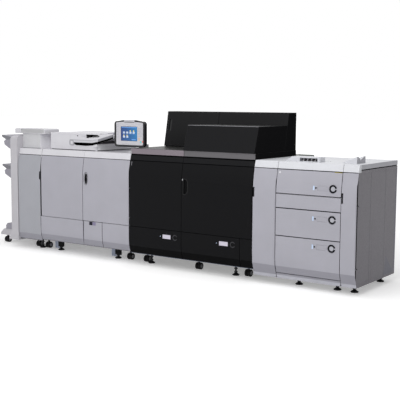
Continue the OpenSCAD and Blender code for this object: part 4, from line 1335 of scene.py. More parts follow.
@dataclass
class FixingUnit:
    """The fixing unit between the finisher and the print engine.

    Attributes:
        x: its left edge.
        split: the line between its doors.
        end: its right edge.
        grip: the place and size of the oval grip.
        window: the counter's window.
    """

    x: float = 803
    split: float = 1381
    end: float = 1963
    grip: Four = (1422.5, 780, 59, 127)
    window: Four = (1463, 330, 86, 32)

    def build(self) -> None:
        """Builds every piece of the fixing unit."""
        self.cabinet()
        self.doors()
        self.handle()
        self.counter()
        keep("fixing_roller", Look.COATED)
        keep("pressure_roller", Look.ROLLER)

    def cabinet(self) -> None:
        """The cabinet with its vents, its seams and its white cover."""
        vents = [Grille((x, 640), (x + 300, 860), BACK) for x in (870, 1560)]
        low = Grille((1230, 200), (1500, 300), BACK)
        seam = groove((self.split - 1.5, 794, 125), (self.split + 1.5, 803, 979))
        skin("fixing_cabinet", Look.SIDE_LIGHT, 1, 1, cuts=[*(vent.hole() for vent in vents), low.hole(), seam],
             zones=[Zone(Look.SHEET, (835, 60, 122), (1930, 766, 978))])
        for number, vent in enumerate(vents, start=1):
            vent.fill(f"fixing_back_vent_{number}", Look.SIDE_LIGHT)
        low.fill("fixing_low_vent", Look.SIDE_LIGHT)
        line = groove((self.split - 1.5, -10, 985), (self.split + 1.5, 64, 1046))
        skin("fixing_top_cover", Look.COVER, 4, 3, cuts=[line])
        seam_line("fixing_cover_line", self.x, self.end)
        SCREWS.build("fixing_back_screws", (self.x, BACK, 125), (self.end, BACK, 975), columns=5, rows=4)

    def doors(self) -> None:
        """The two tall doors and the low panels."""
        skin("fixing_door_left", Look.DOOR, 2, 3, dark=True)
        x, z, w, h = self.grip
        # The grip's bar is painted dark as shade in the recess; the cup round it is paler, partly as a painted
        # highlight.
        bar = Zone(Look.DEEP, (x - 10, 5, z - 48), (x + 10, 15, z + 48))
        cup = Zone(Look.CUP, (x - w / 2 - 1, 2.5, z - h / 2 - 1), (x + w / 2 + 1, 15, z + h / 2 + 1))
        skin("fixing_door_right", Look.DOOR, 2, 3, zones=[cup, bar], dark=True)
        # The foot band is painted darker as shade on the kick that faces down.
        foot = band(Look.DOOR_FOOT_SHADE, 100, 186, 1)
        # The dark band at the lower edge is painted shadow.
        edge = band(Look.EDGE_SHADE, 100, 126.2, 1)
        levels = (126, 185)
        skin("fixing_lower_panels", Look.DOOR, 2, 3, zones=[foot, edge], levels=levels)
        skin("counter_door", Look.DOOR, 2, 3, zones=[foot, edge], levels=levels, dark=True,
             cuts=[part.hole() for part in self.windows()])

    def handle(self) -> None:
        """The oval bezel round the grip, a dark outline ring of painted shadow and a pale rim that is partly a
        painted highlight.
        """
        x, z, w, h = self.grip
        corners = rounded((x - w / 2 + 0.3, z - h / 2 + 0.3), (x + w / 2 - 0.3, z + h / 2 - 0.3), [0.6] * 4, 1)
        board = on_face(Shape().prism(corners, Y, 0.05, 12))
        board.cut(Shape().prism(self.oval(-2, -2), Y, -20, 30))
        Shop.piece("fixing_grip_bezel", board, Look.DOOR, "fixing_door_right")
        for name, outer, inner, near, finish in (("line", (-0.4, -0.4), (-5.5, -4.5), 0, Look.SIDE_DARK),
                                                 ("rim", (-5.4, -4.4), (-9.5, -6.5), 0.3, Look.CUP)):
            ring = on_face(Shape().prism(self.oval(*outer), Y, near, 9))
            ring.cut(Shape().prism(self.oval(*inner), Y, -20, 30))
            Shop.piece(f"fixing_grip_{name}", ring, finish, "fixing_door_right", bevel=0.6)

    def oval(self, wider: float, higher: float) -> list[Point]:
        """The grip's oval outline, larger by a margin at its sides and ends."""
        x, z, w, h = self.grip
        turns = (2 * math.pi * step / 48 for step in range(48))
        return [(x + (w / 2 + wider) * math.cos(turn), z + (h / 2 + higher) * math.sin(turn)) for turn in turns]

    def windows(self) -> list[Inlay]:
        """The counter's dark window and the lilac plate beside it."""
        x, z, w, h = self.window
        return [Inlay(x + w * share, z + h / 2, w / 2 - 3, h, 2, clearance=0.6) for share in (0.25, 0.75)]

    def counter(self) -> None:
        """The window and the plate in the counter's door."""
        for name, part, finish in zip(("counter_window", "counter_plate"), self.windows(),
                                      (Look.WINDOW, Look.LILAC)):
            part.fill(name, finish, "counter_door")


@dataclass
class DocumentReader:
    """The reader and the feeder that lies on it.

    Attributes:
        y: its front.
        head_end: the right end of the feeder's head.
        step: the line between the head's drive box and its paper path.
        lid_top: the height of the lid's upper face.
        top: the height of the head's upper face.
    """

    y: float = 90
    head_end: float = 1350
    step: float = 1135
    lid_top: float = 1108.6
    top: float = 1212.6

    def build(self) -> None:
        """Builds every piece of the reader and feeder."""
        shades = [groove((860, 80, 1040), (1500, 100, 1049)), groove((1478, 80, 1040), (1500, 700, 1049))]
        # The base's right face is painted near white as light under the tray's shade.
        skin("reader_base", Look.COVER, 3, 3, cuts=shades, zones=[
            Zone(Look.BASE_SIDE_LIT, (1440, 89, 1049), (1492, 700, 1080), (0.95, 0, 0)),
            Zone(Look.DEEP, (860, 97, 1040), (1492, 101, 1048.9)),
            Zone(Look.DEEP, (1476, 80, 1040), (1480, 700, 1048.9))])
        keep("platen_glass", Look.PLATEN)
        self.head()
        self.tray()
        keep("feed_roller", Look.ROLLER)

    def head(self) -> None:
        """The feeder's head with the output mouth cut under its front and painted dark as shade."""
        y, step = self.y, self.step
        mouth = Shape().prism([(step + 60, 1112), (step + 75, 1101), (self.head_end + 5, 1099),
                               (self.head_end + 5, 1130), (step + 90, 1126), (step + 66, 1121)],
                              Y, y - OVER, y + 11)
        line = groove((step - 1.5, y - OVER, self.lid_top + 2), (step + 1.5, y + 2, self.top))
        # The mouth is painted in the vent shadow finish as shade.
        dark = Zone(Look.SLOT, (step + 55, y + 1, 1095), (self.head_end + 1, y + 12, 1131))
        # The lid's right end is painted near white as light under the tray's shade.
        skin("feeder_body", Look.COVER, 3, 3, cuts=[mouth, line], zones=[
            dark, Zone(Look.BASE_SIDE_LIT, (1440, y - 1, 1079), (1492, 700, 1110))])
        # The relief under the cover's front is painted dark as shade.
        relief = Shape().prism([(1351, 1185), (1351, 1201), (1500, 1201), (1520, 1185)], Y, y - OVER, y + 240)
        skin("feeder_cover", Look.COVER, 4, 3, cuts=[relief, groove(
            (step - 1.5, y - OVER, self.top - 30), (step + 1.5, y + 2, self.top + OVER))],
            zones=[Zone(Look.SLOT, (1349, y + 2, 1190), (1521, y + 242, 1201.5))])
        tongue = plate((step - 6, y - 7, 1091), (step + 56, y + 4, 1145), Y, 14)
        Shop.piece("feeder_output_guard", tongue, Look.GUARD, "feeder", bevel=2.5, segments=4)
        pad = plate((step + 14, y - 7.8, 1103), (step + 42, y - 6.5, 1133), Y, 9)
        Shop.piece("feeder_guard_pad", pad, Look.COVER, "feeder", bevel=0.5)
        for name, finish, depth, outline in self.rails():
            shape = Shape().prism(outline, Y, y - depth, y + 1)
            Shop.piece(name, shape, finish, "feeder", bevel=1)
        dot = Shape().lathe([(1.5, 7.5), (-0.6, 6.9)], Y, (1237, y, 1186), 16)
        Shop.piece("feeder_lamp", dot, Look.LENS, "feeder")
        latch = plate((1290, y - 2.5, 1180), (1345, y + 3, 1188), Y, 3)
        Shop.piece("feeder_cover_latch", latch, Look.TONGUE, "feeder", bevel=1)

    def rails(self) -> list[tuple[str, Finish, float, list[Point]]]:
        """The tray's front wall, its light rail, a painted shadow line above the rail and a dark crescent of painted
        shadow under it.

        Returns:
            Each one's name, finish, height over the head's front, and outline.
        """
        foot = [(1133, 1121), (1432, 1121.5), (1510, 1135.5), (1613, 1161), (1698, 1185)]
        brow = [(1698, 1206.5), (1613, 1184.5), (1510, 1157.5), (1432, 1141.5), (1133, 1144.5)]
        # A dark crescent under the rail: painted shadow of the gap beneath the tray.
        shadow_crescent = [(1190, 1122), (1196, 1104), (1220, 1094), (1339, 1091), (1431, 1097),
                  (1510, 1119), (1613, 1146), (1698, 1169)]
        wall = [(1350, 1140), (1432, 1140), (1510, 1156), (1613, 1183), (1698, 1205),
                (1698, 1218), (1610, 1212), (1532, 1203.5), (1517, 1175), (1350, 1166)]
        # The thin grey line above the rail is painted shadow.
        line = [(1133, 1144), (1432, 1141), (1500, 1154), (1500, 1158.5), (1432, 1145), (1133, 1148)]
        return [("document_tray_wall", Look.COVER, 1, wall),
                ("feeder_rail_shadow_line", Look.RAIL, 1.6, line),
                ("feeder_rail_shadow_crescent", Look.DEEP, 4, [*shadow_crescent, *reversed(foot[1:]), (1190, 1121.3)]),
                ("feeder_front_rail", Look.TONGUE, 6, [*foot[:3], *brow[2:]]),
                ("feeder_rail_rise", Look.TRAY_DARK, 6, [*foot[2:], *brow[:3]])]

    def tray(self) -> None:
        """The document tray with its ribs and its two paper guides."""
        # The tray's front and its faces that look down are painted near black as shade.
        skin("document_tray", Look.COVER, 3, 3, zones=[
            Zone(Look.RAIL_SHADE, (1340, 85, 1100), (1710, 92, 1215), FRONT),
            Zone(Look.RAIL_SHADE, (1340, 85, 1100), (1710, 126, 1215), (0.25, 0, -1))])
        rise = Vector((350, 0, 36)).normalized()
        rib = Shape().block((0, 0, 0), (300, 3, 1.6)).bevelled(0.6)
        turn = Matrix.Rotation(-math.atan2(rise.z, rise.x), 4, "Y")
        rib.turned(Matrix.Translation((1380, 230, 1175.6)) @ turn)
        Repeater.grid("document_tray_ribs", rib, Look.COVER, "feeder", rows=5, up=(0, 60, 0))
        skin("guide_front", Look.TRAY, 1.5, 2)
        skin("guide_rear", Look.TRAY, 1.5, 2)


@dataclass
class ControlPanel:
    """The control panel on its arm.

    Attributes:
        x: its left edge.
        w: its width.
        z: its lower edge.
        h: its height.
        y: its front.
        rim: the width of its dark rim.
        crown: how far its upper edge is arched.
    """

    x: float = 1750
    w: float = 362
    z: float = 1107
    h: float = 233
    y: float = 50
    rim: float = 24
    crown: float = 14

    def build(self) -> None:
        """Builds every piece of the panel."""
        skin("panel_arm", Look.COVER, 3, 3)
        sides, ends = ((self.x, -1), (self.x + self.w, 1)), ((self.z, -1), (self.z + self.h, 1))
        corners = [corner_tool((x, z), (sx, sz), 28, (self.y - 5, self.y + 80)) for x, sx in sides for z, sz in ends]
        skin("panel_housing", Look.PANEL, 4, 4, cuts=corners)
        skin("touch_screen", Look.SCREEN, 0.6, 2)
        guard = plate((self.x - 2, self.y + 1, self.z - 7), (self.x + self.w + 1, self.y + 30, self.z + self.h - 2),
                      Y, 32)
        Shop.piece("panel_guard_rim", guard, Look.PANEL, "panel", bevel=4, segments=4)
        self.fascia()
        self.icons()
        self.keys()

    def fascia(self) -> None:
        """The pale fascia and the crowned edge above it."""
        front = self.y - 1.2
        low = (self.x + self.rim, self.z + 13)
        high = (self.x + self.w - 15, self.z + self.h - 13)
        foot = rounded(low, high, [14, 14, 0, 0], 8)[:-2]
        width = high[0] - low[0]
        top = [(high[0] - width * step / 24, high[1] + self.rise(step / 24)) for step in range(25)]
        board = Shape().prism([*foot, *top], Y, front, self.y + EPS)
        window = rounded((1830, 1157), (2029, 1292), [3] * 4, 3)
        board.cut(Shape().prism(window, Y, self.y - 10, self.y + 10))
        for place in ((2071, 1150), (2092, 1154)):
            board.cut(Shape().prism(circle(place, 8.8), Y, self.y - 10, self.y + 10))
        Shop.piece("panel_fascia", board, Look.FASCIA, "panel", bevel=0.6)
        middle, edge = self.x + self.w / 2, self.z + self.h
        arch = [(middle - 164 + 328 * step / 24, edge - 6 + self.rise(step / 24, self.crown + 6))
                for step in range(25)]
        arch += [(middle + 164, edge - 8), (middle - 164, edge - 8)]
        crown = Shape().prism(arch, Y, self.y + 0.5, self.y + 34)
        Shop.piece("panel_crown", crown, Look.PANEL, "panel", bevel=3, segments=3)
        outline = rounded((middle - 62, edge - 12), (middle + 66, edge + self.crown), [2, 2, 9, 9], 6)
        lip = Shape().prism(outline, Y, front, self.y + 30)
        Shop.piece("panel_crown_lip", lip, Look.FASCIA, "panel", bevel=1.5, segments=3)

    def rise(self, share: float, height: float = 10.0) -> float:
        """How far the arched edge lies above its ends at a share of its length."""
        return 4 * height * share * (1 - share)

    def icons(self) -> None:
        """Generic tiles and bars on the screen."""
        for name, place, size, finish, count in (
                ("tiles_upper", (1857, 1226), (24, 18), Look.TILE, 4),
                ("tiles_lower", (1857, 1187), (24, 18), Look.TILE, 2),
                ("captions", (1854, 1219), (30, 4), Look.TILE_DARK, 4),
                ("marks", (1938, 1246), (13, 11), Look.YELLOW, 2),
                ("low_marks", (1860, 1206), (13, 8), Look.YELLOW, 2)):
            Repeater.grid(f"screen_{name}", self.tile(*place, *size), finish, "panel", count, (39, 0, 0))
        Shop.piece("screen_title_bar", self.tile(1838, 1281, 183, 6), Look.TILE_DARK, "panel")
        Shop.piece("screen_foot_bar", self.tile(1960, 1166, 52, 9), Look.TILE_DARK, "panel")

    def tile(self, x: float, z: float, w: float, h: float) -> Shape:
        """A flat tile on the screen, by its low corner and its size."""
        y = self.y + 0.32
        return plate((x, y - 0.25, z), (x + w, y, z + h), Y, 3)

    def keys(self) -> None:
        """The start and stop keys and the small keys beside the screen."""
        skin("start_key", Look.TEAL, 1.2, 3)
        skin("stop_key", Look.RED, 1.2, 3)
        y = self.y - 1.2
        for name, finish, low, high, radius, proud, columns, across, rows in (
                ("small", Look.KEY, (2044, 1200), (2054, 1207), 2.5, 1.2, 3, 15, 6),
                ("side", Look.KEY, (1780, 1180), (1788, 1186), 2.5, 1.2, 2, 14, 9),
                ("orange", Look.ORANGE, (2046, 1164), (2057, 1174), 4, 1.2, 1, 0, 2),
                ("foot", Look.KEY, (1848, 1127), (1862, 1133), 2.5, 1, 7, 24, 1)):
            key = plate((low[0], y - proud, low[1]), (high[0], y + 0.3, high[1]), Y, radius).bevelled(0.4)
            Repeater.grid(f"panel_{name}_keys", key, finish, "panel", columns, (across, 0, 0), rows, (0, 0, 15))


@dataclass
class PrintEngine:
    """The print engine, its cassettes and its hoods.

    Attributes:
        x: its left edge.
        split: the line between its halves.
        end: its right edge.
        cassettes: each cassette's node, label plate X, key X and lamp X.
    """

    x: float = 1967
    split: float = 2574.75
    end: float = 3318
    cassettes: tuple[tuple[str, str, float, float, float], ...] = (
        ("cassette_left", "cassette_key_left", 2362.75, 2502.75, 2338),
        ("cassette_right", "cassette_key_right", 2983, 3123, 2956))

    def build(self) -> None:
        """Builds every piece of the engine."""
        self.cabinet()
        self.doors()
        self.handle()
        self.hoods()
        self.rear()
        self.drawers()
        keep("toner_bottles", Look.BOTTLE)
        keep("drum_units", Look.DRUM)
        keep("transfer_belt", Look.BELT)

    def cabinet(self) -> None:
        """The black cabinet and its cover with the metal band."""
        x, split, end = self.x, self.split, self.end
        trim = band(Look.TRIM, 100, 116)
        front = Zone(Look.BLACK, (3190, -1, 110), (end + 1, 60, 366))
        # The kick is painted a deeper black as shade.
        foot = Zone(Look.BLACK_FOOT_SHADE, (3190, -1, 116), (end + 1, 60, 182), (0, -0.95, 0))
        skin("engine_cabinet", Look.BLACK, 1, 1, zones=[front, foot, trim], levels=(115.5, 182))
        line = groove((split - 1.5, 10, 975), (split + 1.5, 70, 1098))
        skin("engine_top_cover", Look.BLACK_TOP, 2.5, 3, cuts=[line], zones=[
            Zone(Look.BAND, (x - 1, 20, 1043), (split, 66, 1091.5), FRONT),
            Zone(Look.BAND_RIGHT, (split, 20, 1043), (end + 1, 66, 1091.5), FRONT),
            # Dark strips under the band and above the doors are painted shadow.
            Zone(Look.DEEP, (x - 1, -1, 1030.5), (end + 1, 70, 1042.9), FRONT),
            Zone(Look.DEEP, (x - 1, -1, 978), (end + 1, 70, 984.4), FRONT),
            Zone(Look.TOP_BLACK, (x - 1, 20, 1090), (end + 1, 800, 1095), (0, 0, 1)),
            # The right face is given the matte black as painted shade.
            Zone(Look.HOOD_SIDE_SHADE, (end - 1, -1, 978), (end + 1, 800, 1095), RIGHT)],
            levels=(1030, 984.5))

    def doors(self) -> None:
        """The two black doors with the status lamp, the grip's pocket and the lock."""
        lamp = Inlay(1986, 952, 6, 36, 2.5)
        skin("engine_door_left", Look.BLACK, 2.5, 3, cuts=[lamp.hole()], dark=True)
        lamp.fill("status_lamp", Look.STATUS, "engine_door_left")
        pocket = on_face(Shape().prism(self.grip_outline(0), Y, -OVER, 12))
        lock = Inlay(2585, 835, 9, 16, 4.4)
        # The grip's pocket is painted in the vent shadow finish as shade.
        skin("engine_door_right", Look.BLACK, 2.5, 3, cuts=[pocket, lock.hole()], zones=[
            Zone(Look.SLOT, (2586, 3, 696), (2650, 20, 850))], dark=True)
        lock.fill("engine_door_lock", Look.STEEL, "engine_door_right")

    def grip_outline(self, inset: float) -> list[Point]:
        """The outline of the engine's grip, round to the right.

        Args:
            inset: how far it lies inside the pocket's edge.

        Returns:
            The outline.
        """
        low, high = (2591 + inset, 700 + inset), (2646 - inset, 846 - inset)
        return rounded(low, high, [6 - inset / 2, 44 - inset, 44 - inset, 6 - inset / 2], 10)

    def handle(self) -> None:
        """The glossy rim of the engine's grip."""
        rim = on_face(Shape().prism(self.grip_outline(0.8), Y, 0.3, 8))
        rim.cut(Shape().prism(self.grip_outline(5), Y, -20, 30))
        Shop.piece("engine_grip_rim", rim, Look.GLOSS, "engine_door_right", bevel=1)

    def hoods(self) -> None:
        """The front and rear hoods, the toner door and a light metal strip on the front hood's top edge, partly a
        painted highlight.
        """
        # The hoods' right faces are given a matte black without sheen as painted shade.
        side = Zone(Look.HOOD_SIDE_SHADE, (self.end - 2, -10, 1090), (self.end + 1, 800, 1440), RIGHT)
        skin("hood_front", Look.HOOD, 4, 4, zones=[side])
        well = Zone(Look.GRIP, (self.x - 5, 500, 1090), (self.split, 712, 1200), (0, 0, 1))
        skin("hood_rear", Look.HOOD_REAR, 3, 3, zones=[side, well])
        # A light metal strip along the front hood's top edge: partly its own metal, partly a painted highlight.
        edge = Shape().prism([(93.5, 1316.6), (91.2, 1315), (91.5, 1318.3), (97, 1318.5)], X,
                             self.split + 6, self.end - 3)
        Shop.piece("hood_front_edge_highlight", edge, Look.EDGE, bevel=0.4)
        lean = math.atan(66 / 339)
        turn = Matrix.Translation((1967, 536, 1093)) @ Matrix.Rotation(-lean, 4, "X")
        radii = [8, 14, 14, 8]
        pocket = Shape().prism(rounded((34, 150), (62, 268), radii, 6), Y, -OVER, 9).turned(turn)
        skin("toner_door", Look.HOOD_REAR, 1.5, 2, cuts=[pocket])
        floor = Shape().prism(rounded((34.6, 150.6), (61.4, 267.4), radii, 6), Y, 7.6, 9.4)
        Shop.piece("toner_door_grip_floor", floor.turned(turn), Look.GLOSS, "toner_door")
        # The back slots are flat plates in the vent shadow finish: painted shade instead of openings.
        unit = plate((2650, 739.6, 1180), (2658, 741.2, 1330), Y, 3.9)
        Repeater.grid("hood_back_slots", unit, Look.SLOT, "frame", 34, (18, 0, 0))

    def rear(self) -> None:
        """The rear duct cover with its vents, seams, screws and power inlet."""
        vents = [Grille((x, 620), (x + 330, 900), 1100, pitch=16) for x in (2040, 2478, 2916)]
        seams = [*(groove((x - 1.5, 1097, 152), (x + 1.5, 1105, 1033)) for x in (2424, 2862)),
                 groove((1960, 1097, 518.5), (3325, 1105, 521.5))]
        skin("engine_rear_cover", Look.REAR, 3, 2, cuts=[*(vent.hole() for vent in vents), *seams])
        for number, vent in enumerate(vents, start=1):
            vent.fill(f"engine_rear_vent_{number}", Look.REAR)
        flush = Shape().lathe([(-1.2, 3), (-0.05, 5), (-0.02, 2.4), (-0.9, 1.6)], Y, (1990, 1100, 175), 12)
        Repeater.grid("engine_rear_screws", flush, Look.STEEL, "frame", 7, (217.5, 0, 0), 4, (0, 0, 278))
        for side, x, facing in (("left", 1967, -1), ("right", 3318, 1)):
            SCREWS.build(f"duct_screws_{side}", (x, 800, 160), (x, 1095, 1025), X, facing, rows=4)
        socket = plate((3190, 1096, 200), (3262, 1099.4, 262), Y, 6)
        Shop.piece("power_inlet_plate", socket, Look.GRIP, bevel=0.8)

    def drawers(self) -> None:
        """The two cassettes with their label plates, lamps and keys."""
        for node, key, plate_x, key_x, lamp_x in self.cassettes:
            lamp = Inlay(lamp_x, 304, 7, 7, 3.4)
            label = Zone(Look.LABEL, (plate_x, 0.2, 285), (plate_x + 92, 2.5, 323), FRONT)
            trim = band(Look.TRIM, 100, 115.6)
            # The kick is painted a deeper black as shade.
            foot = band(Look.BLACK_FOOT_SHADE, 100, 182)
            skin(node, Look.BLACK, 1.5, 2, zones=[label, foot, trim], cuts=[lamp.hole()],
                 levels=(115.5, 182), dark=True)
            lamp.fill(f"{node}_lamp", Look.BLUE, node)
            RoundKey(key, key_x, 304, 27, 8, Look.DARK_RING, Look.BLACK).build()


@dataclass
class PaperDeck:
    """The paper deck with its drawers.

    Attributes:
        x: its left edge.
        end: its right edge.
        front: the drawers' left and right edge.
        keys_z: the heights of the drawers' keys.
        key_x: the keys' X.
        seams_y: the places of the side panel's seams.
        lip: the height of the side panel's upper edge.
    """

    x: float = 3322
    end: float = 4268
    front: Point = (3547, 4132)
    keys_z: Triple = (844, 597, 368)
    key_x: float = 4060
    seams_y: Point = (262, 556)
    lip: float = 1004

    def build(self) -> None:
        """Builds every piece of the deck."""
        self.cabinet()
        self.cover()
        self.doors()
        self.drawers()
        self.inlet()

    def cabinet(self) -> None:
        """The cabinet with the seams of its side panel and its back."""
        end = self.end
        side = Zone(Look.SIDE, (end - 3, 30, 60), (end + 1, 800, 1008))
        cool = Zone(Look.SIDE_REAR, (end - 1, self.seams_y[1], 60), (end + 1, 800, 1008), RIGHT)
        back = Zone(Look.SIDE, (self.x - 10, 794, 60), (end + 1, 800, 980))
        left, right = self.front
        # The strip's foot is painted darker as shade on the kick that faces down.
        strips = [Zone(finish, (left - 1, -1, low), (right + 1, 74, high)) for finish, low, high in (
            (Look.DOOR, 655, 785), (Look.DOOR_FOOT_SHADE, 60, 113), (Look.SKIRT, 60, 94.2))]
        seams = [groove((end - 2.5, y - 1.2, 68), (end + OVER, y + 1.2, 979)) for y in self.seams_y]
        marks = [groove((end - 1, 88, 332.4), (end + OVER, 262, 333.6)),
                 groove((end - 1, 300, 68), (end + OVER, 301.2, 600)),
                 groove((end - 1, 600, 250), (end + OVER, 601.2, 330))]
        vent = Grille((3700, 640), (4120, 860), BACK)
        gaps = [groove((left - 3, -10, z - 3), (right + 3, 9, z + 3)) for z in (779, 663)]
        # The faces of the gaps above and below the fixed strip are painted dark as shade.
        rims = [Zone(Look.DEEP, (left - 4, -10, z - 4.5), (right + 4, 10, z + 4.5), facing, 0.6)
                for z, facing in ((779, (0, 0, 1)), (663, (0, 0, -1)))]
        skin("deck_cabinet", Look.SHEET, 1, 2, zones=[side, cool, back, *strips, *rims],
             cuts=[*seams, *marks, *gaps, vent.hole()], levels=(94,))
        vent.fill("deck_back_vent", Look.SIDE)
        SCREWS.build("deck_back_screws", (self.x, BACK, 75), (end, BACK, 975), columns=4, rows=4)
        filler = Shape().block((end - 8, 41, 68), (end - 0.3, 75.3, 978))
        Shop.piece("deck_side_filler", filler, Look.SIDE)
        lock = Shape().lathe([(-3, 8), (-0.2, 8), (-0.2, 5), (-1.2, 4)], X, (end, 617, 340), 20)
        Shop.piece("deck_side_lock", lock, Look.SIDE_DARK)

    def cover(self) -> None:
        """The white cover with the lip that the side panel reaches."""
        end = self.end
        side = Zone(Look.SIDE, (end - 2, 72, 60), (end + 1, 800, self.lip), RIGHT)
        shadow = groove((end - 6, 72, self.lip - 8), (end + OVER, 800, self.lip))
        # The face under the side lip is painted dark as its shadow.
        under_lip_shadow = Zone(Look.DEEP, (end - 6.2, 72, self.lip - 9), (end - 1, 800, self.lip + 0.5))
        inlet = groove((3701, 100, 1046), (3864, 123, 1074))
        notch = Shape().prism([(174, 1104), (288, 1104), (284, 1096), (222, 1072), (178, 1096)], X, 4150, 4200)
        lines = [groove((x - 1.8, -10, 982), (x + 1.8, 62, 1046)) for x in (3545, 4134)]
        # The cover's right face above the side panel is painted grey as shade.
        face = Zone(Look.LIP_SHADE, (end - 1, 72, self.lip + 1), (end + 1, 800, 1041), RIGHT)
        seam_line("deck_cover_line", self.x + 1, end - 3)
        # The stop's right face is painted grey as shade.
        stop = Zone(Look.LIP_SHADE, (4180, 140, 1044), (4196, 320, 1102), RIGHT)
        skin("deck_top_cover", Look.DECK_COVER, 2.5, 3, zones=[under_lip_shadow, side, face, stop],
             cuts=[shadow, inlet, notch, *lines],
             splits=[(Y, 72)])
        dot = Shape().lathe([(0, 6), (1, 5.4)], Z, (3900, 269, 1042), 18)
        Shop.piece("deck_top_lamp", dot, Look.LENS)
        ledge = plate((self.x + 3, 776, 1041.8), (3475, 796.5, 1055), Z, 4)
        Shop.piece("deck_rear_ledge", ledge, Look.REAR, bevel=1.5)

    def doors(self) -> None:
        """The narrow doors at both sides."""
        # The foot band is painted darker as shade on the kick that faces down.
        foot = band(Look.DOOR_FOOT_SHADE, 94, 173.5)
        skirt = band(Look.SKIRT, 60, 94.2)
        levels = (94, 173)
        grips = (Zone(Look.GRIP, (self.x - 1, 2, 733), (self.x + 17, 15, 819)),
                 Zone(Look.GRIP, (4135, 2, 733), (4153, 15, 819)))
        side = Zone(Look.SIDE, (self.end - 1, 24, 60), (self.end + 1, 60, 980), RIGHT)
        for node, grip in zip(("deck_door_left", "deck_door_right"), grips):
            skin(node, Look.DOOR, 2, 3, zones=[foot, skirt, side, grip], levels=levels, dark=True)

    def drawers(self) -> None:
        """The three drawers with their label plates, lamps and keys."""
        # The foot band is painted darker as shade on the kick that faces down.
        foot = band(Look.DOOR_FOOT_SHADE, 110, 173.5)
        for number, z in enumerate(self.keys_z, start=1):
            node = f"deck_drawer_{number}"
            inlays = [("label", Look.PLATE, Inlay(3970, z, 88, 38, 3, sunk=0.7, clearance=1.2)),
                      ("lamp", Look.LENS, Inlay(3909, z, 15, 15, 7.4)),
                      ("mark", Look.BLUE, Inlay(3890, z, 13, 36, 3))]
            if number == 1:
                inlays += [("lock", Look.COVER, Inlay(3569, 953, 20, 20, 9.9, sunk=0.4)),
                           ("lit_line", Look.AMBER, Inlay(4096, 974.5, 66, 3.6, 1.5, sunk=0.2, clearance=0.6))]
            low, high = (corner.z for corner in Row.box(node))
            # The dark lines at the drawer's upper and lower edges are painted shadow of the gaps.
            lines = [band(Look.EDGE_SHADE, *span, 0.98) for span in ((low - 1, low + 2.1), (high - 2.1, high + 1))]
            skin(node, Look.DOOR, 1.5, 2, zones=[foot, *lines], cuts=[inlay.hole() for _, _, inlay in inlays],
                 levels=(173, low + 2, high - 2), dark=True)
            for name, finish, inlay in inlays:
                inlay.fill(f"{node}_{name}", finish, node)
            RoundKey(f"deck_key_{number}", self.key_x, z, 35, 15.5, Look.RING, Look.KEY, 10).build()

    def inlet(self) -> None:
        """The back, the floor, the end and the fins of the paper inlet; the back and the floor are in the vent shadow
        finish, painted shade inside the inlet.
        """
        back = plate((3701, 196, 1043), (3866, 199, 1069), Y, 2)
        Shop.piece("deck_inlet_back", back, Look.SLOT)
        floor = plate((3701, 112, 1042.2), (3866, 199, 1043.6), Z, 2)
        Shop.piece("deck_inlet_floor", floor, Look.SLOT)
        end = Shape().prism([(112, 1042), (206, 1042), (206, 1079), (124, 1079), (112, 1072)], X, 3868, 3884)
        Shop.piece("deck_inlet_end", end, Look.DECK_COVER, bevel=2.5, segments=3)
        fin = Shape().prism([(124, 1043), (196, 1043), (196, 1068), (140, 1068)], X, 3722, 3727)
        Repeater.grid("deck_inlet_fins", fin, Look.COVER, "frame", 4, (36, 0, 0))


@dataclass
class RunningGear:
    """The casters, feet and hinges.

    Attributes:
        caster_y: the two caster rows.
        feet: the feet's X.
        feet_y: the two rows of feet.
    """

    caster_y: Point = (200, 747)
    feet: tuple[float, ...] = (645, 909, 1680, 2097, 3047, 3681, 4036, 4187)
    feet_y: Point = (180, 697)

    def build(self) -> None:
        """Dresses the wheels, forks, feet and hinges."""
        keep("door_hinges", Look.STEEL)
        skin("caster_forks", Look.FORK, 1.2, 2, zones=[Zone(Look.FORK_LIGHT, (530, 140, 10), (625, 270, 140))])
        for node, row in zip(("front_wheels", "rear_wheels"), self.caster_y):
            skin(node, Look.RUBBER, 3, 3)
            self.hubs(node, row)
        self.levelling()

    def hubs(self, node: str, row: float) -> None:
        """The hub caps of one row of casters.

        Args:
            node: the row's wheels.
            row: the row's Y.
        """
        low, high = Row.box(node)
        z = (low.z + high.z) / 2
        shape = Shape()
        wheels = Shape.of_node(node)
        spans = sorted({round(vert.co.x, 1) for vert in wheels.mesh.verts})
        for near, far in zip(spans[::2], spans[1::2]):
            for side, x in ((-1, near), (1, far)):
                shape.lathe([(side * -0.5, 18), (side * 0.5, 17), (side * 0.8, 6)], X, (x, row, z), 20)
        Shop.piece(f"{node}_hub_caps", shape, Look.HUB, node)

    def levelling(self) -> None:
        """The levelling feet: pads, nuts, spindles and brackets."""
        spindle, nuts = Shape(), Shape()
        for x in self.feet:
            for y in self.feet_y:
                foot = (x, y, 0)
                spindle.lathe([(0, 30), (3, 33), (10, 32), (20, 15), (23, 11), (26, 9), (118, 9)], Z, foot, 24)
                nuts.lathe([(26, 17), (38, 17)], Z, foot, 6)
                nuts.lathe([(58, 16), (64, 20), (66, 20)], Z, foot, 6)
        Shop.piece("levelling_foot_pads", spindle, Look.FOOT, "frame", ("levelling_feet",), 0.8, 2)
        Shop.piece("levelling_foot_nuts", nuts, Look.FORK, "frame", bevel=0.8)
        plates, blocks = Shape(), Shape()
        for x in (909, 1680):
            plates.block((x - 84, 176, 16), (x - 24, 182, 119))
            plates.block((x - 84, 176, 113), (x + 40, 206, 119))
            blocks.block((x - 22, 156, 40), (x + 50, 174, 92))
            blocks.block((x - 22, 156, 86), (x + 50, 200, 92))
        Shop.piece("levelling_bracket_plates", plates, Look.BRACKET, "frame", bevel=2)
        Shop.piece("levelling_bracket_blocks", blocks, Look.BLACK, "frame", bevel=2)


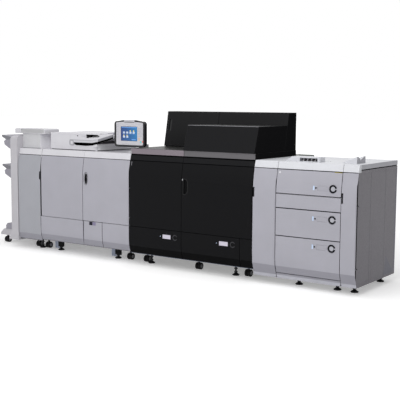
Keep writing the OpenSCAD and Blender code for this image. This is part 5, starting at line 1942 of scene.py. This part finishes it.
@dataclass
class Seams:
    """Dark strips deep in the gaps between the doors, drawers and covers: painted shade in the gaps.

    Attributes:
        width: the strips' width, a little under the gaps'.
        front: the strips' first Y.
        back: their last Y.
        upright: each upright gap's X, lowest and highest point.
        level: each level gap's first X, last X and height.
        cover: each gap in the covers' front, as X, lowest and highest point.
    """

    width: float = 3
    front: float = 30
    back: float = 56
    upright: tuple[Triple, ...] = (
        (801, 125, 978), (1381, 372, 978), (1965, 125, 978), (2574.75, 372, 978),
        (2574.75, 113, 363), (3320, 115, 978), (3545, 70, 978), (4134, 70, 978))
    level: tuple[Triple, ...] = (
        (805, 1961, 367), (1969, 3316, 367), (3549, 4130, 781), (3549, 4130, 659),
        (3549, 4130, 430), (3549, 4130, 112))
    cover: tuple[Triple, ...] = ((801, 984, 1040), (1381, 986, 1040), (3545, 984, 1040), (4134, 984, 1040))

    def build(self) -> None:
        """Makes the strips."""
        half, front, back = self.width / 2, self.front, self.back
        spans = {"upright": [((x - half, front, low), (x + half, back, high)) for x, low, high in self.upright],
                 "cover": [((x - half, 41, low), (x + half, 58, high)) for x, low, high in self.cover],
                 "level": [((start, face_y(z) + 12, z - half), (end, face_y(z) + 32, z + half))
                           for start, end, z in self.level]}
        for name, corners in spans.items():
            strips = Shape()
            for low, high in corners:
                strips.block(low, high)
            Shop.piece(f"{name}_gap_shade_strips", strips, Look.DEEP)


@dataclass
class Studio:
    """The floor, the light and the camera.

    Attributes:
        lens: the lens, in millimetres on a 36 mm sensor.
        camera_at: the camera's place.
        azimuth: how far it looks to the left of straight back, in radians.
        pitch: how far it looks down.
        roll: how far it is rolled.
    """

    lens: float = 75.909
    camera_at: Triple = (4.8866, -6.5584, 1.5123)
    azimuth: float = 0.614604
    pitch: float = 0.114339
    roll: float = 0.0061234

    def build(self) -> None:
        """Sets up the floor, the world, the lamps and the camera."""
        bpy.context.scene.view_settings.view_transform = "Standard"
        self.floor()
        self.world()
        self.lamps()
        self.camera()

    def floor(self) -> None:
        """A pale floor that the camera sees as white but for the shadow."""
        mesh = bpy.data.meshes.new("studio_floor")
        reach = 60.0
        mesh.from_pydata([(-reach, -reach, 0), (reach, -reach, 0), (reach, reach, 0), (-reach, reach, 0)], [],
                         [(0, 1, 2, 3)])
        floor = placed("studio_floor", mesh)
        finish = bpy.data.materials.new("studio floor")
        finish.use_nodes = True
        graph = Graph(finish.node_tree)
        shader = graph.tree.nodes["Principled BSDF"]
        graph.fix(shader, {"Base Color": (0.92, 0.92, 0.92, 1.0), "Roughness": 0.9, "Specular IOR Level": 0.1,
                           "Emission Color": (1.0, 1.0, 1.0, 1.0)})
        places = graph.node("ShaderNodeTexCoord")
        distance = graph.node("ShaderNodeVectorMath", operation="LENGTH")
        far = graph.node("ShaderNodeMapRange", {"From Min": 2.2, "From Max": 7.0, "To Min": 0.30, "To Max": 0.75})
        share = graph.node("ShaderNodeMath", operation="MULTIPLY")
        graph.link((places.outputs["Object"], distance.inputs[0]), (distance.outputs["Value"], far.inputs["Value"]),
                   (self.seen(graph, "Is Camera Ray", "Is Glossy Ray"), share.inputs[0]),
                   (far.outputs["Result"], share.inputs[1]),
                   (share.outputs["Value"], shader.inputs["Emission Strength"]))
        mesh.materials.append(finish)

    def world(self) -> None:
        """A white backdrop that gives a soft, even light."""
        world = bpy.data.worlds.new("studio world")
        bpy.context.scene.world = world
        world.use_nodes = True
        graph = Graph(world.node_tree)
        sky = graph.tree.nodes["Background"]
        graph.fix(sky, {"Color": (1.0, 1.0, 1.0, 1.0)})
        strength = graph.node("ShaderNodeMapRange", {"To Min": 0.45, "To Max": 1.0})
        seen = self.seen(graph, "Is Camera Ray", "Is Transmission Ray", "Is Glossy Ray")
        graph.link((seen, strength.inputs["Value"]), (strength.outputs["Result"], sky.inputs["Strength"]))

    @staticmethod
    def seen(graph: Graph, *rays: str) -> Socket:
        """Whether a ray is of one of some kinds.

        Args:
            graph: the graph it is for.
            rays: the kinds, by their names on the light path.

        Returns:
            1 if it is, else 0.
        """
        path = graph.node("ShaderNodeLightPath")
        result = path.outputs[rays[0]]
        for ray in rays[1:]:
            either = graph.node("ShaderNodeMath", operation="MAXIMUM")
            graph.link((result, either.inputs[0]), (path.outputs[ray], either.inputs[1]))
            result = either.outputs["Value"]
        return result

    def lamps(self) -> None:
        """Soft boxes: a main one to the front left, a fill to the right and one above."""
        self.lamp("main_soft_box", (-2.5, -7, 4.2), (0, 0, 0.6), 5, 70)
        self.lamp("fill_soft_box", (2.2, -5.6, 4.2), (-0.9, -0.2, 0.9), 3, 125)
        self.lamp("top_soft_box", (0.3, -1, 5.3), (0, 0, 0.8), 5, 105)

    def lamp(self, name: str, place: Triple, target: Triple, size: float, power: float) -> None:
        """Adds a square lamp that looks at a place.

        Args:
            name: its name.
            place: where it is.
            target: what it looks at.
            size: its side.
            power: its power in watts.
        """
        data = bpy.data.lights.new(name, "AREA")
        data.shape = "SQUARE"
        data.size = size
        data.energy = power
        lamp = placed(name, data)
        lamp.location = place
        lamp.rotation_euler = (Vector(target) - Vector(place)).to_track_quat("-Z", "Y").to_euler()

    def camera(self) -> None:
        """The camera at the photograph's place."""
        forward = Vector((-math.sin(self.azimuth) * math.cos(self.pitch),
                          math.cos(self.azimuth) * math.cos(self.pitch), -math.sin(self.pitch)))
        right = Vector((math.cos(self.azimuth), math.sin(self.azimuth), 0.0))
        up = right.cross(forward)
        across = right * math.cos(self.roll) + up * math.sin(self.roll)
        above = up * math.cos(self.roll) - right * math.sin(self.roll)
        data = bpy.data.cameras.new("photograph_camera")
        data.lens = self.lens
        data.sensor_width = 36.0
        data.clip_end = 200.0
        camera = placed("photograph_camera", data)
        turn = Matrix((across, above, -forward)).transposed().to_4x4()
        camera.matrix_world = Matrix.Translation(self.camera_at) @ turn
        bpy.context.scene.camera = camera


def main() -> None:
    """Builds the studio and every sub-assembly in order."""
    Studio().build()
    for part in (Finisher(), FixingUnit(), DocumentReader(), ControlPanel(), PrintEngine(), PaperDeck(),
                 RunningGear(), Seams()):
        LOG.info("building %s", type(part).__name__)
        part.build()
    LOG.info("%d pieces made", Shop.made)


if __name__ == "__main__":
    main()
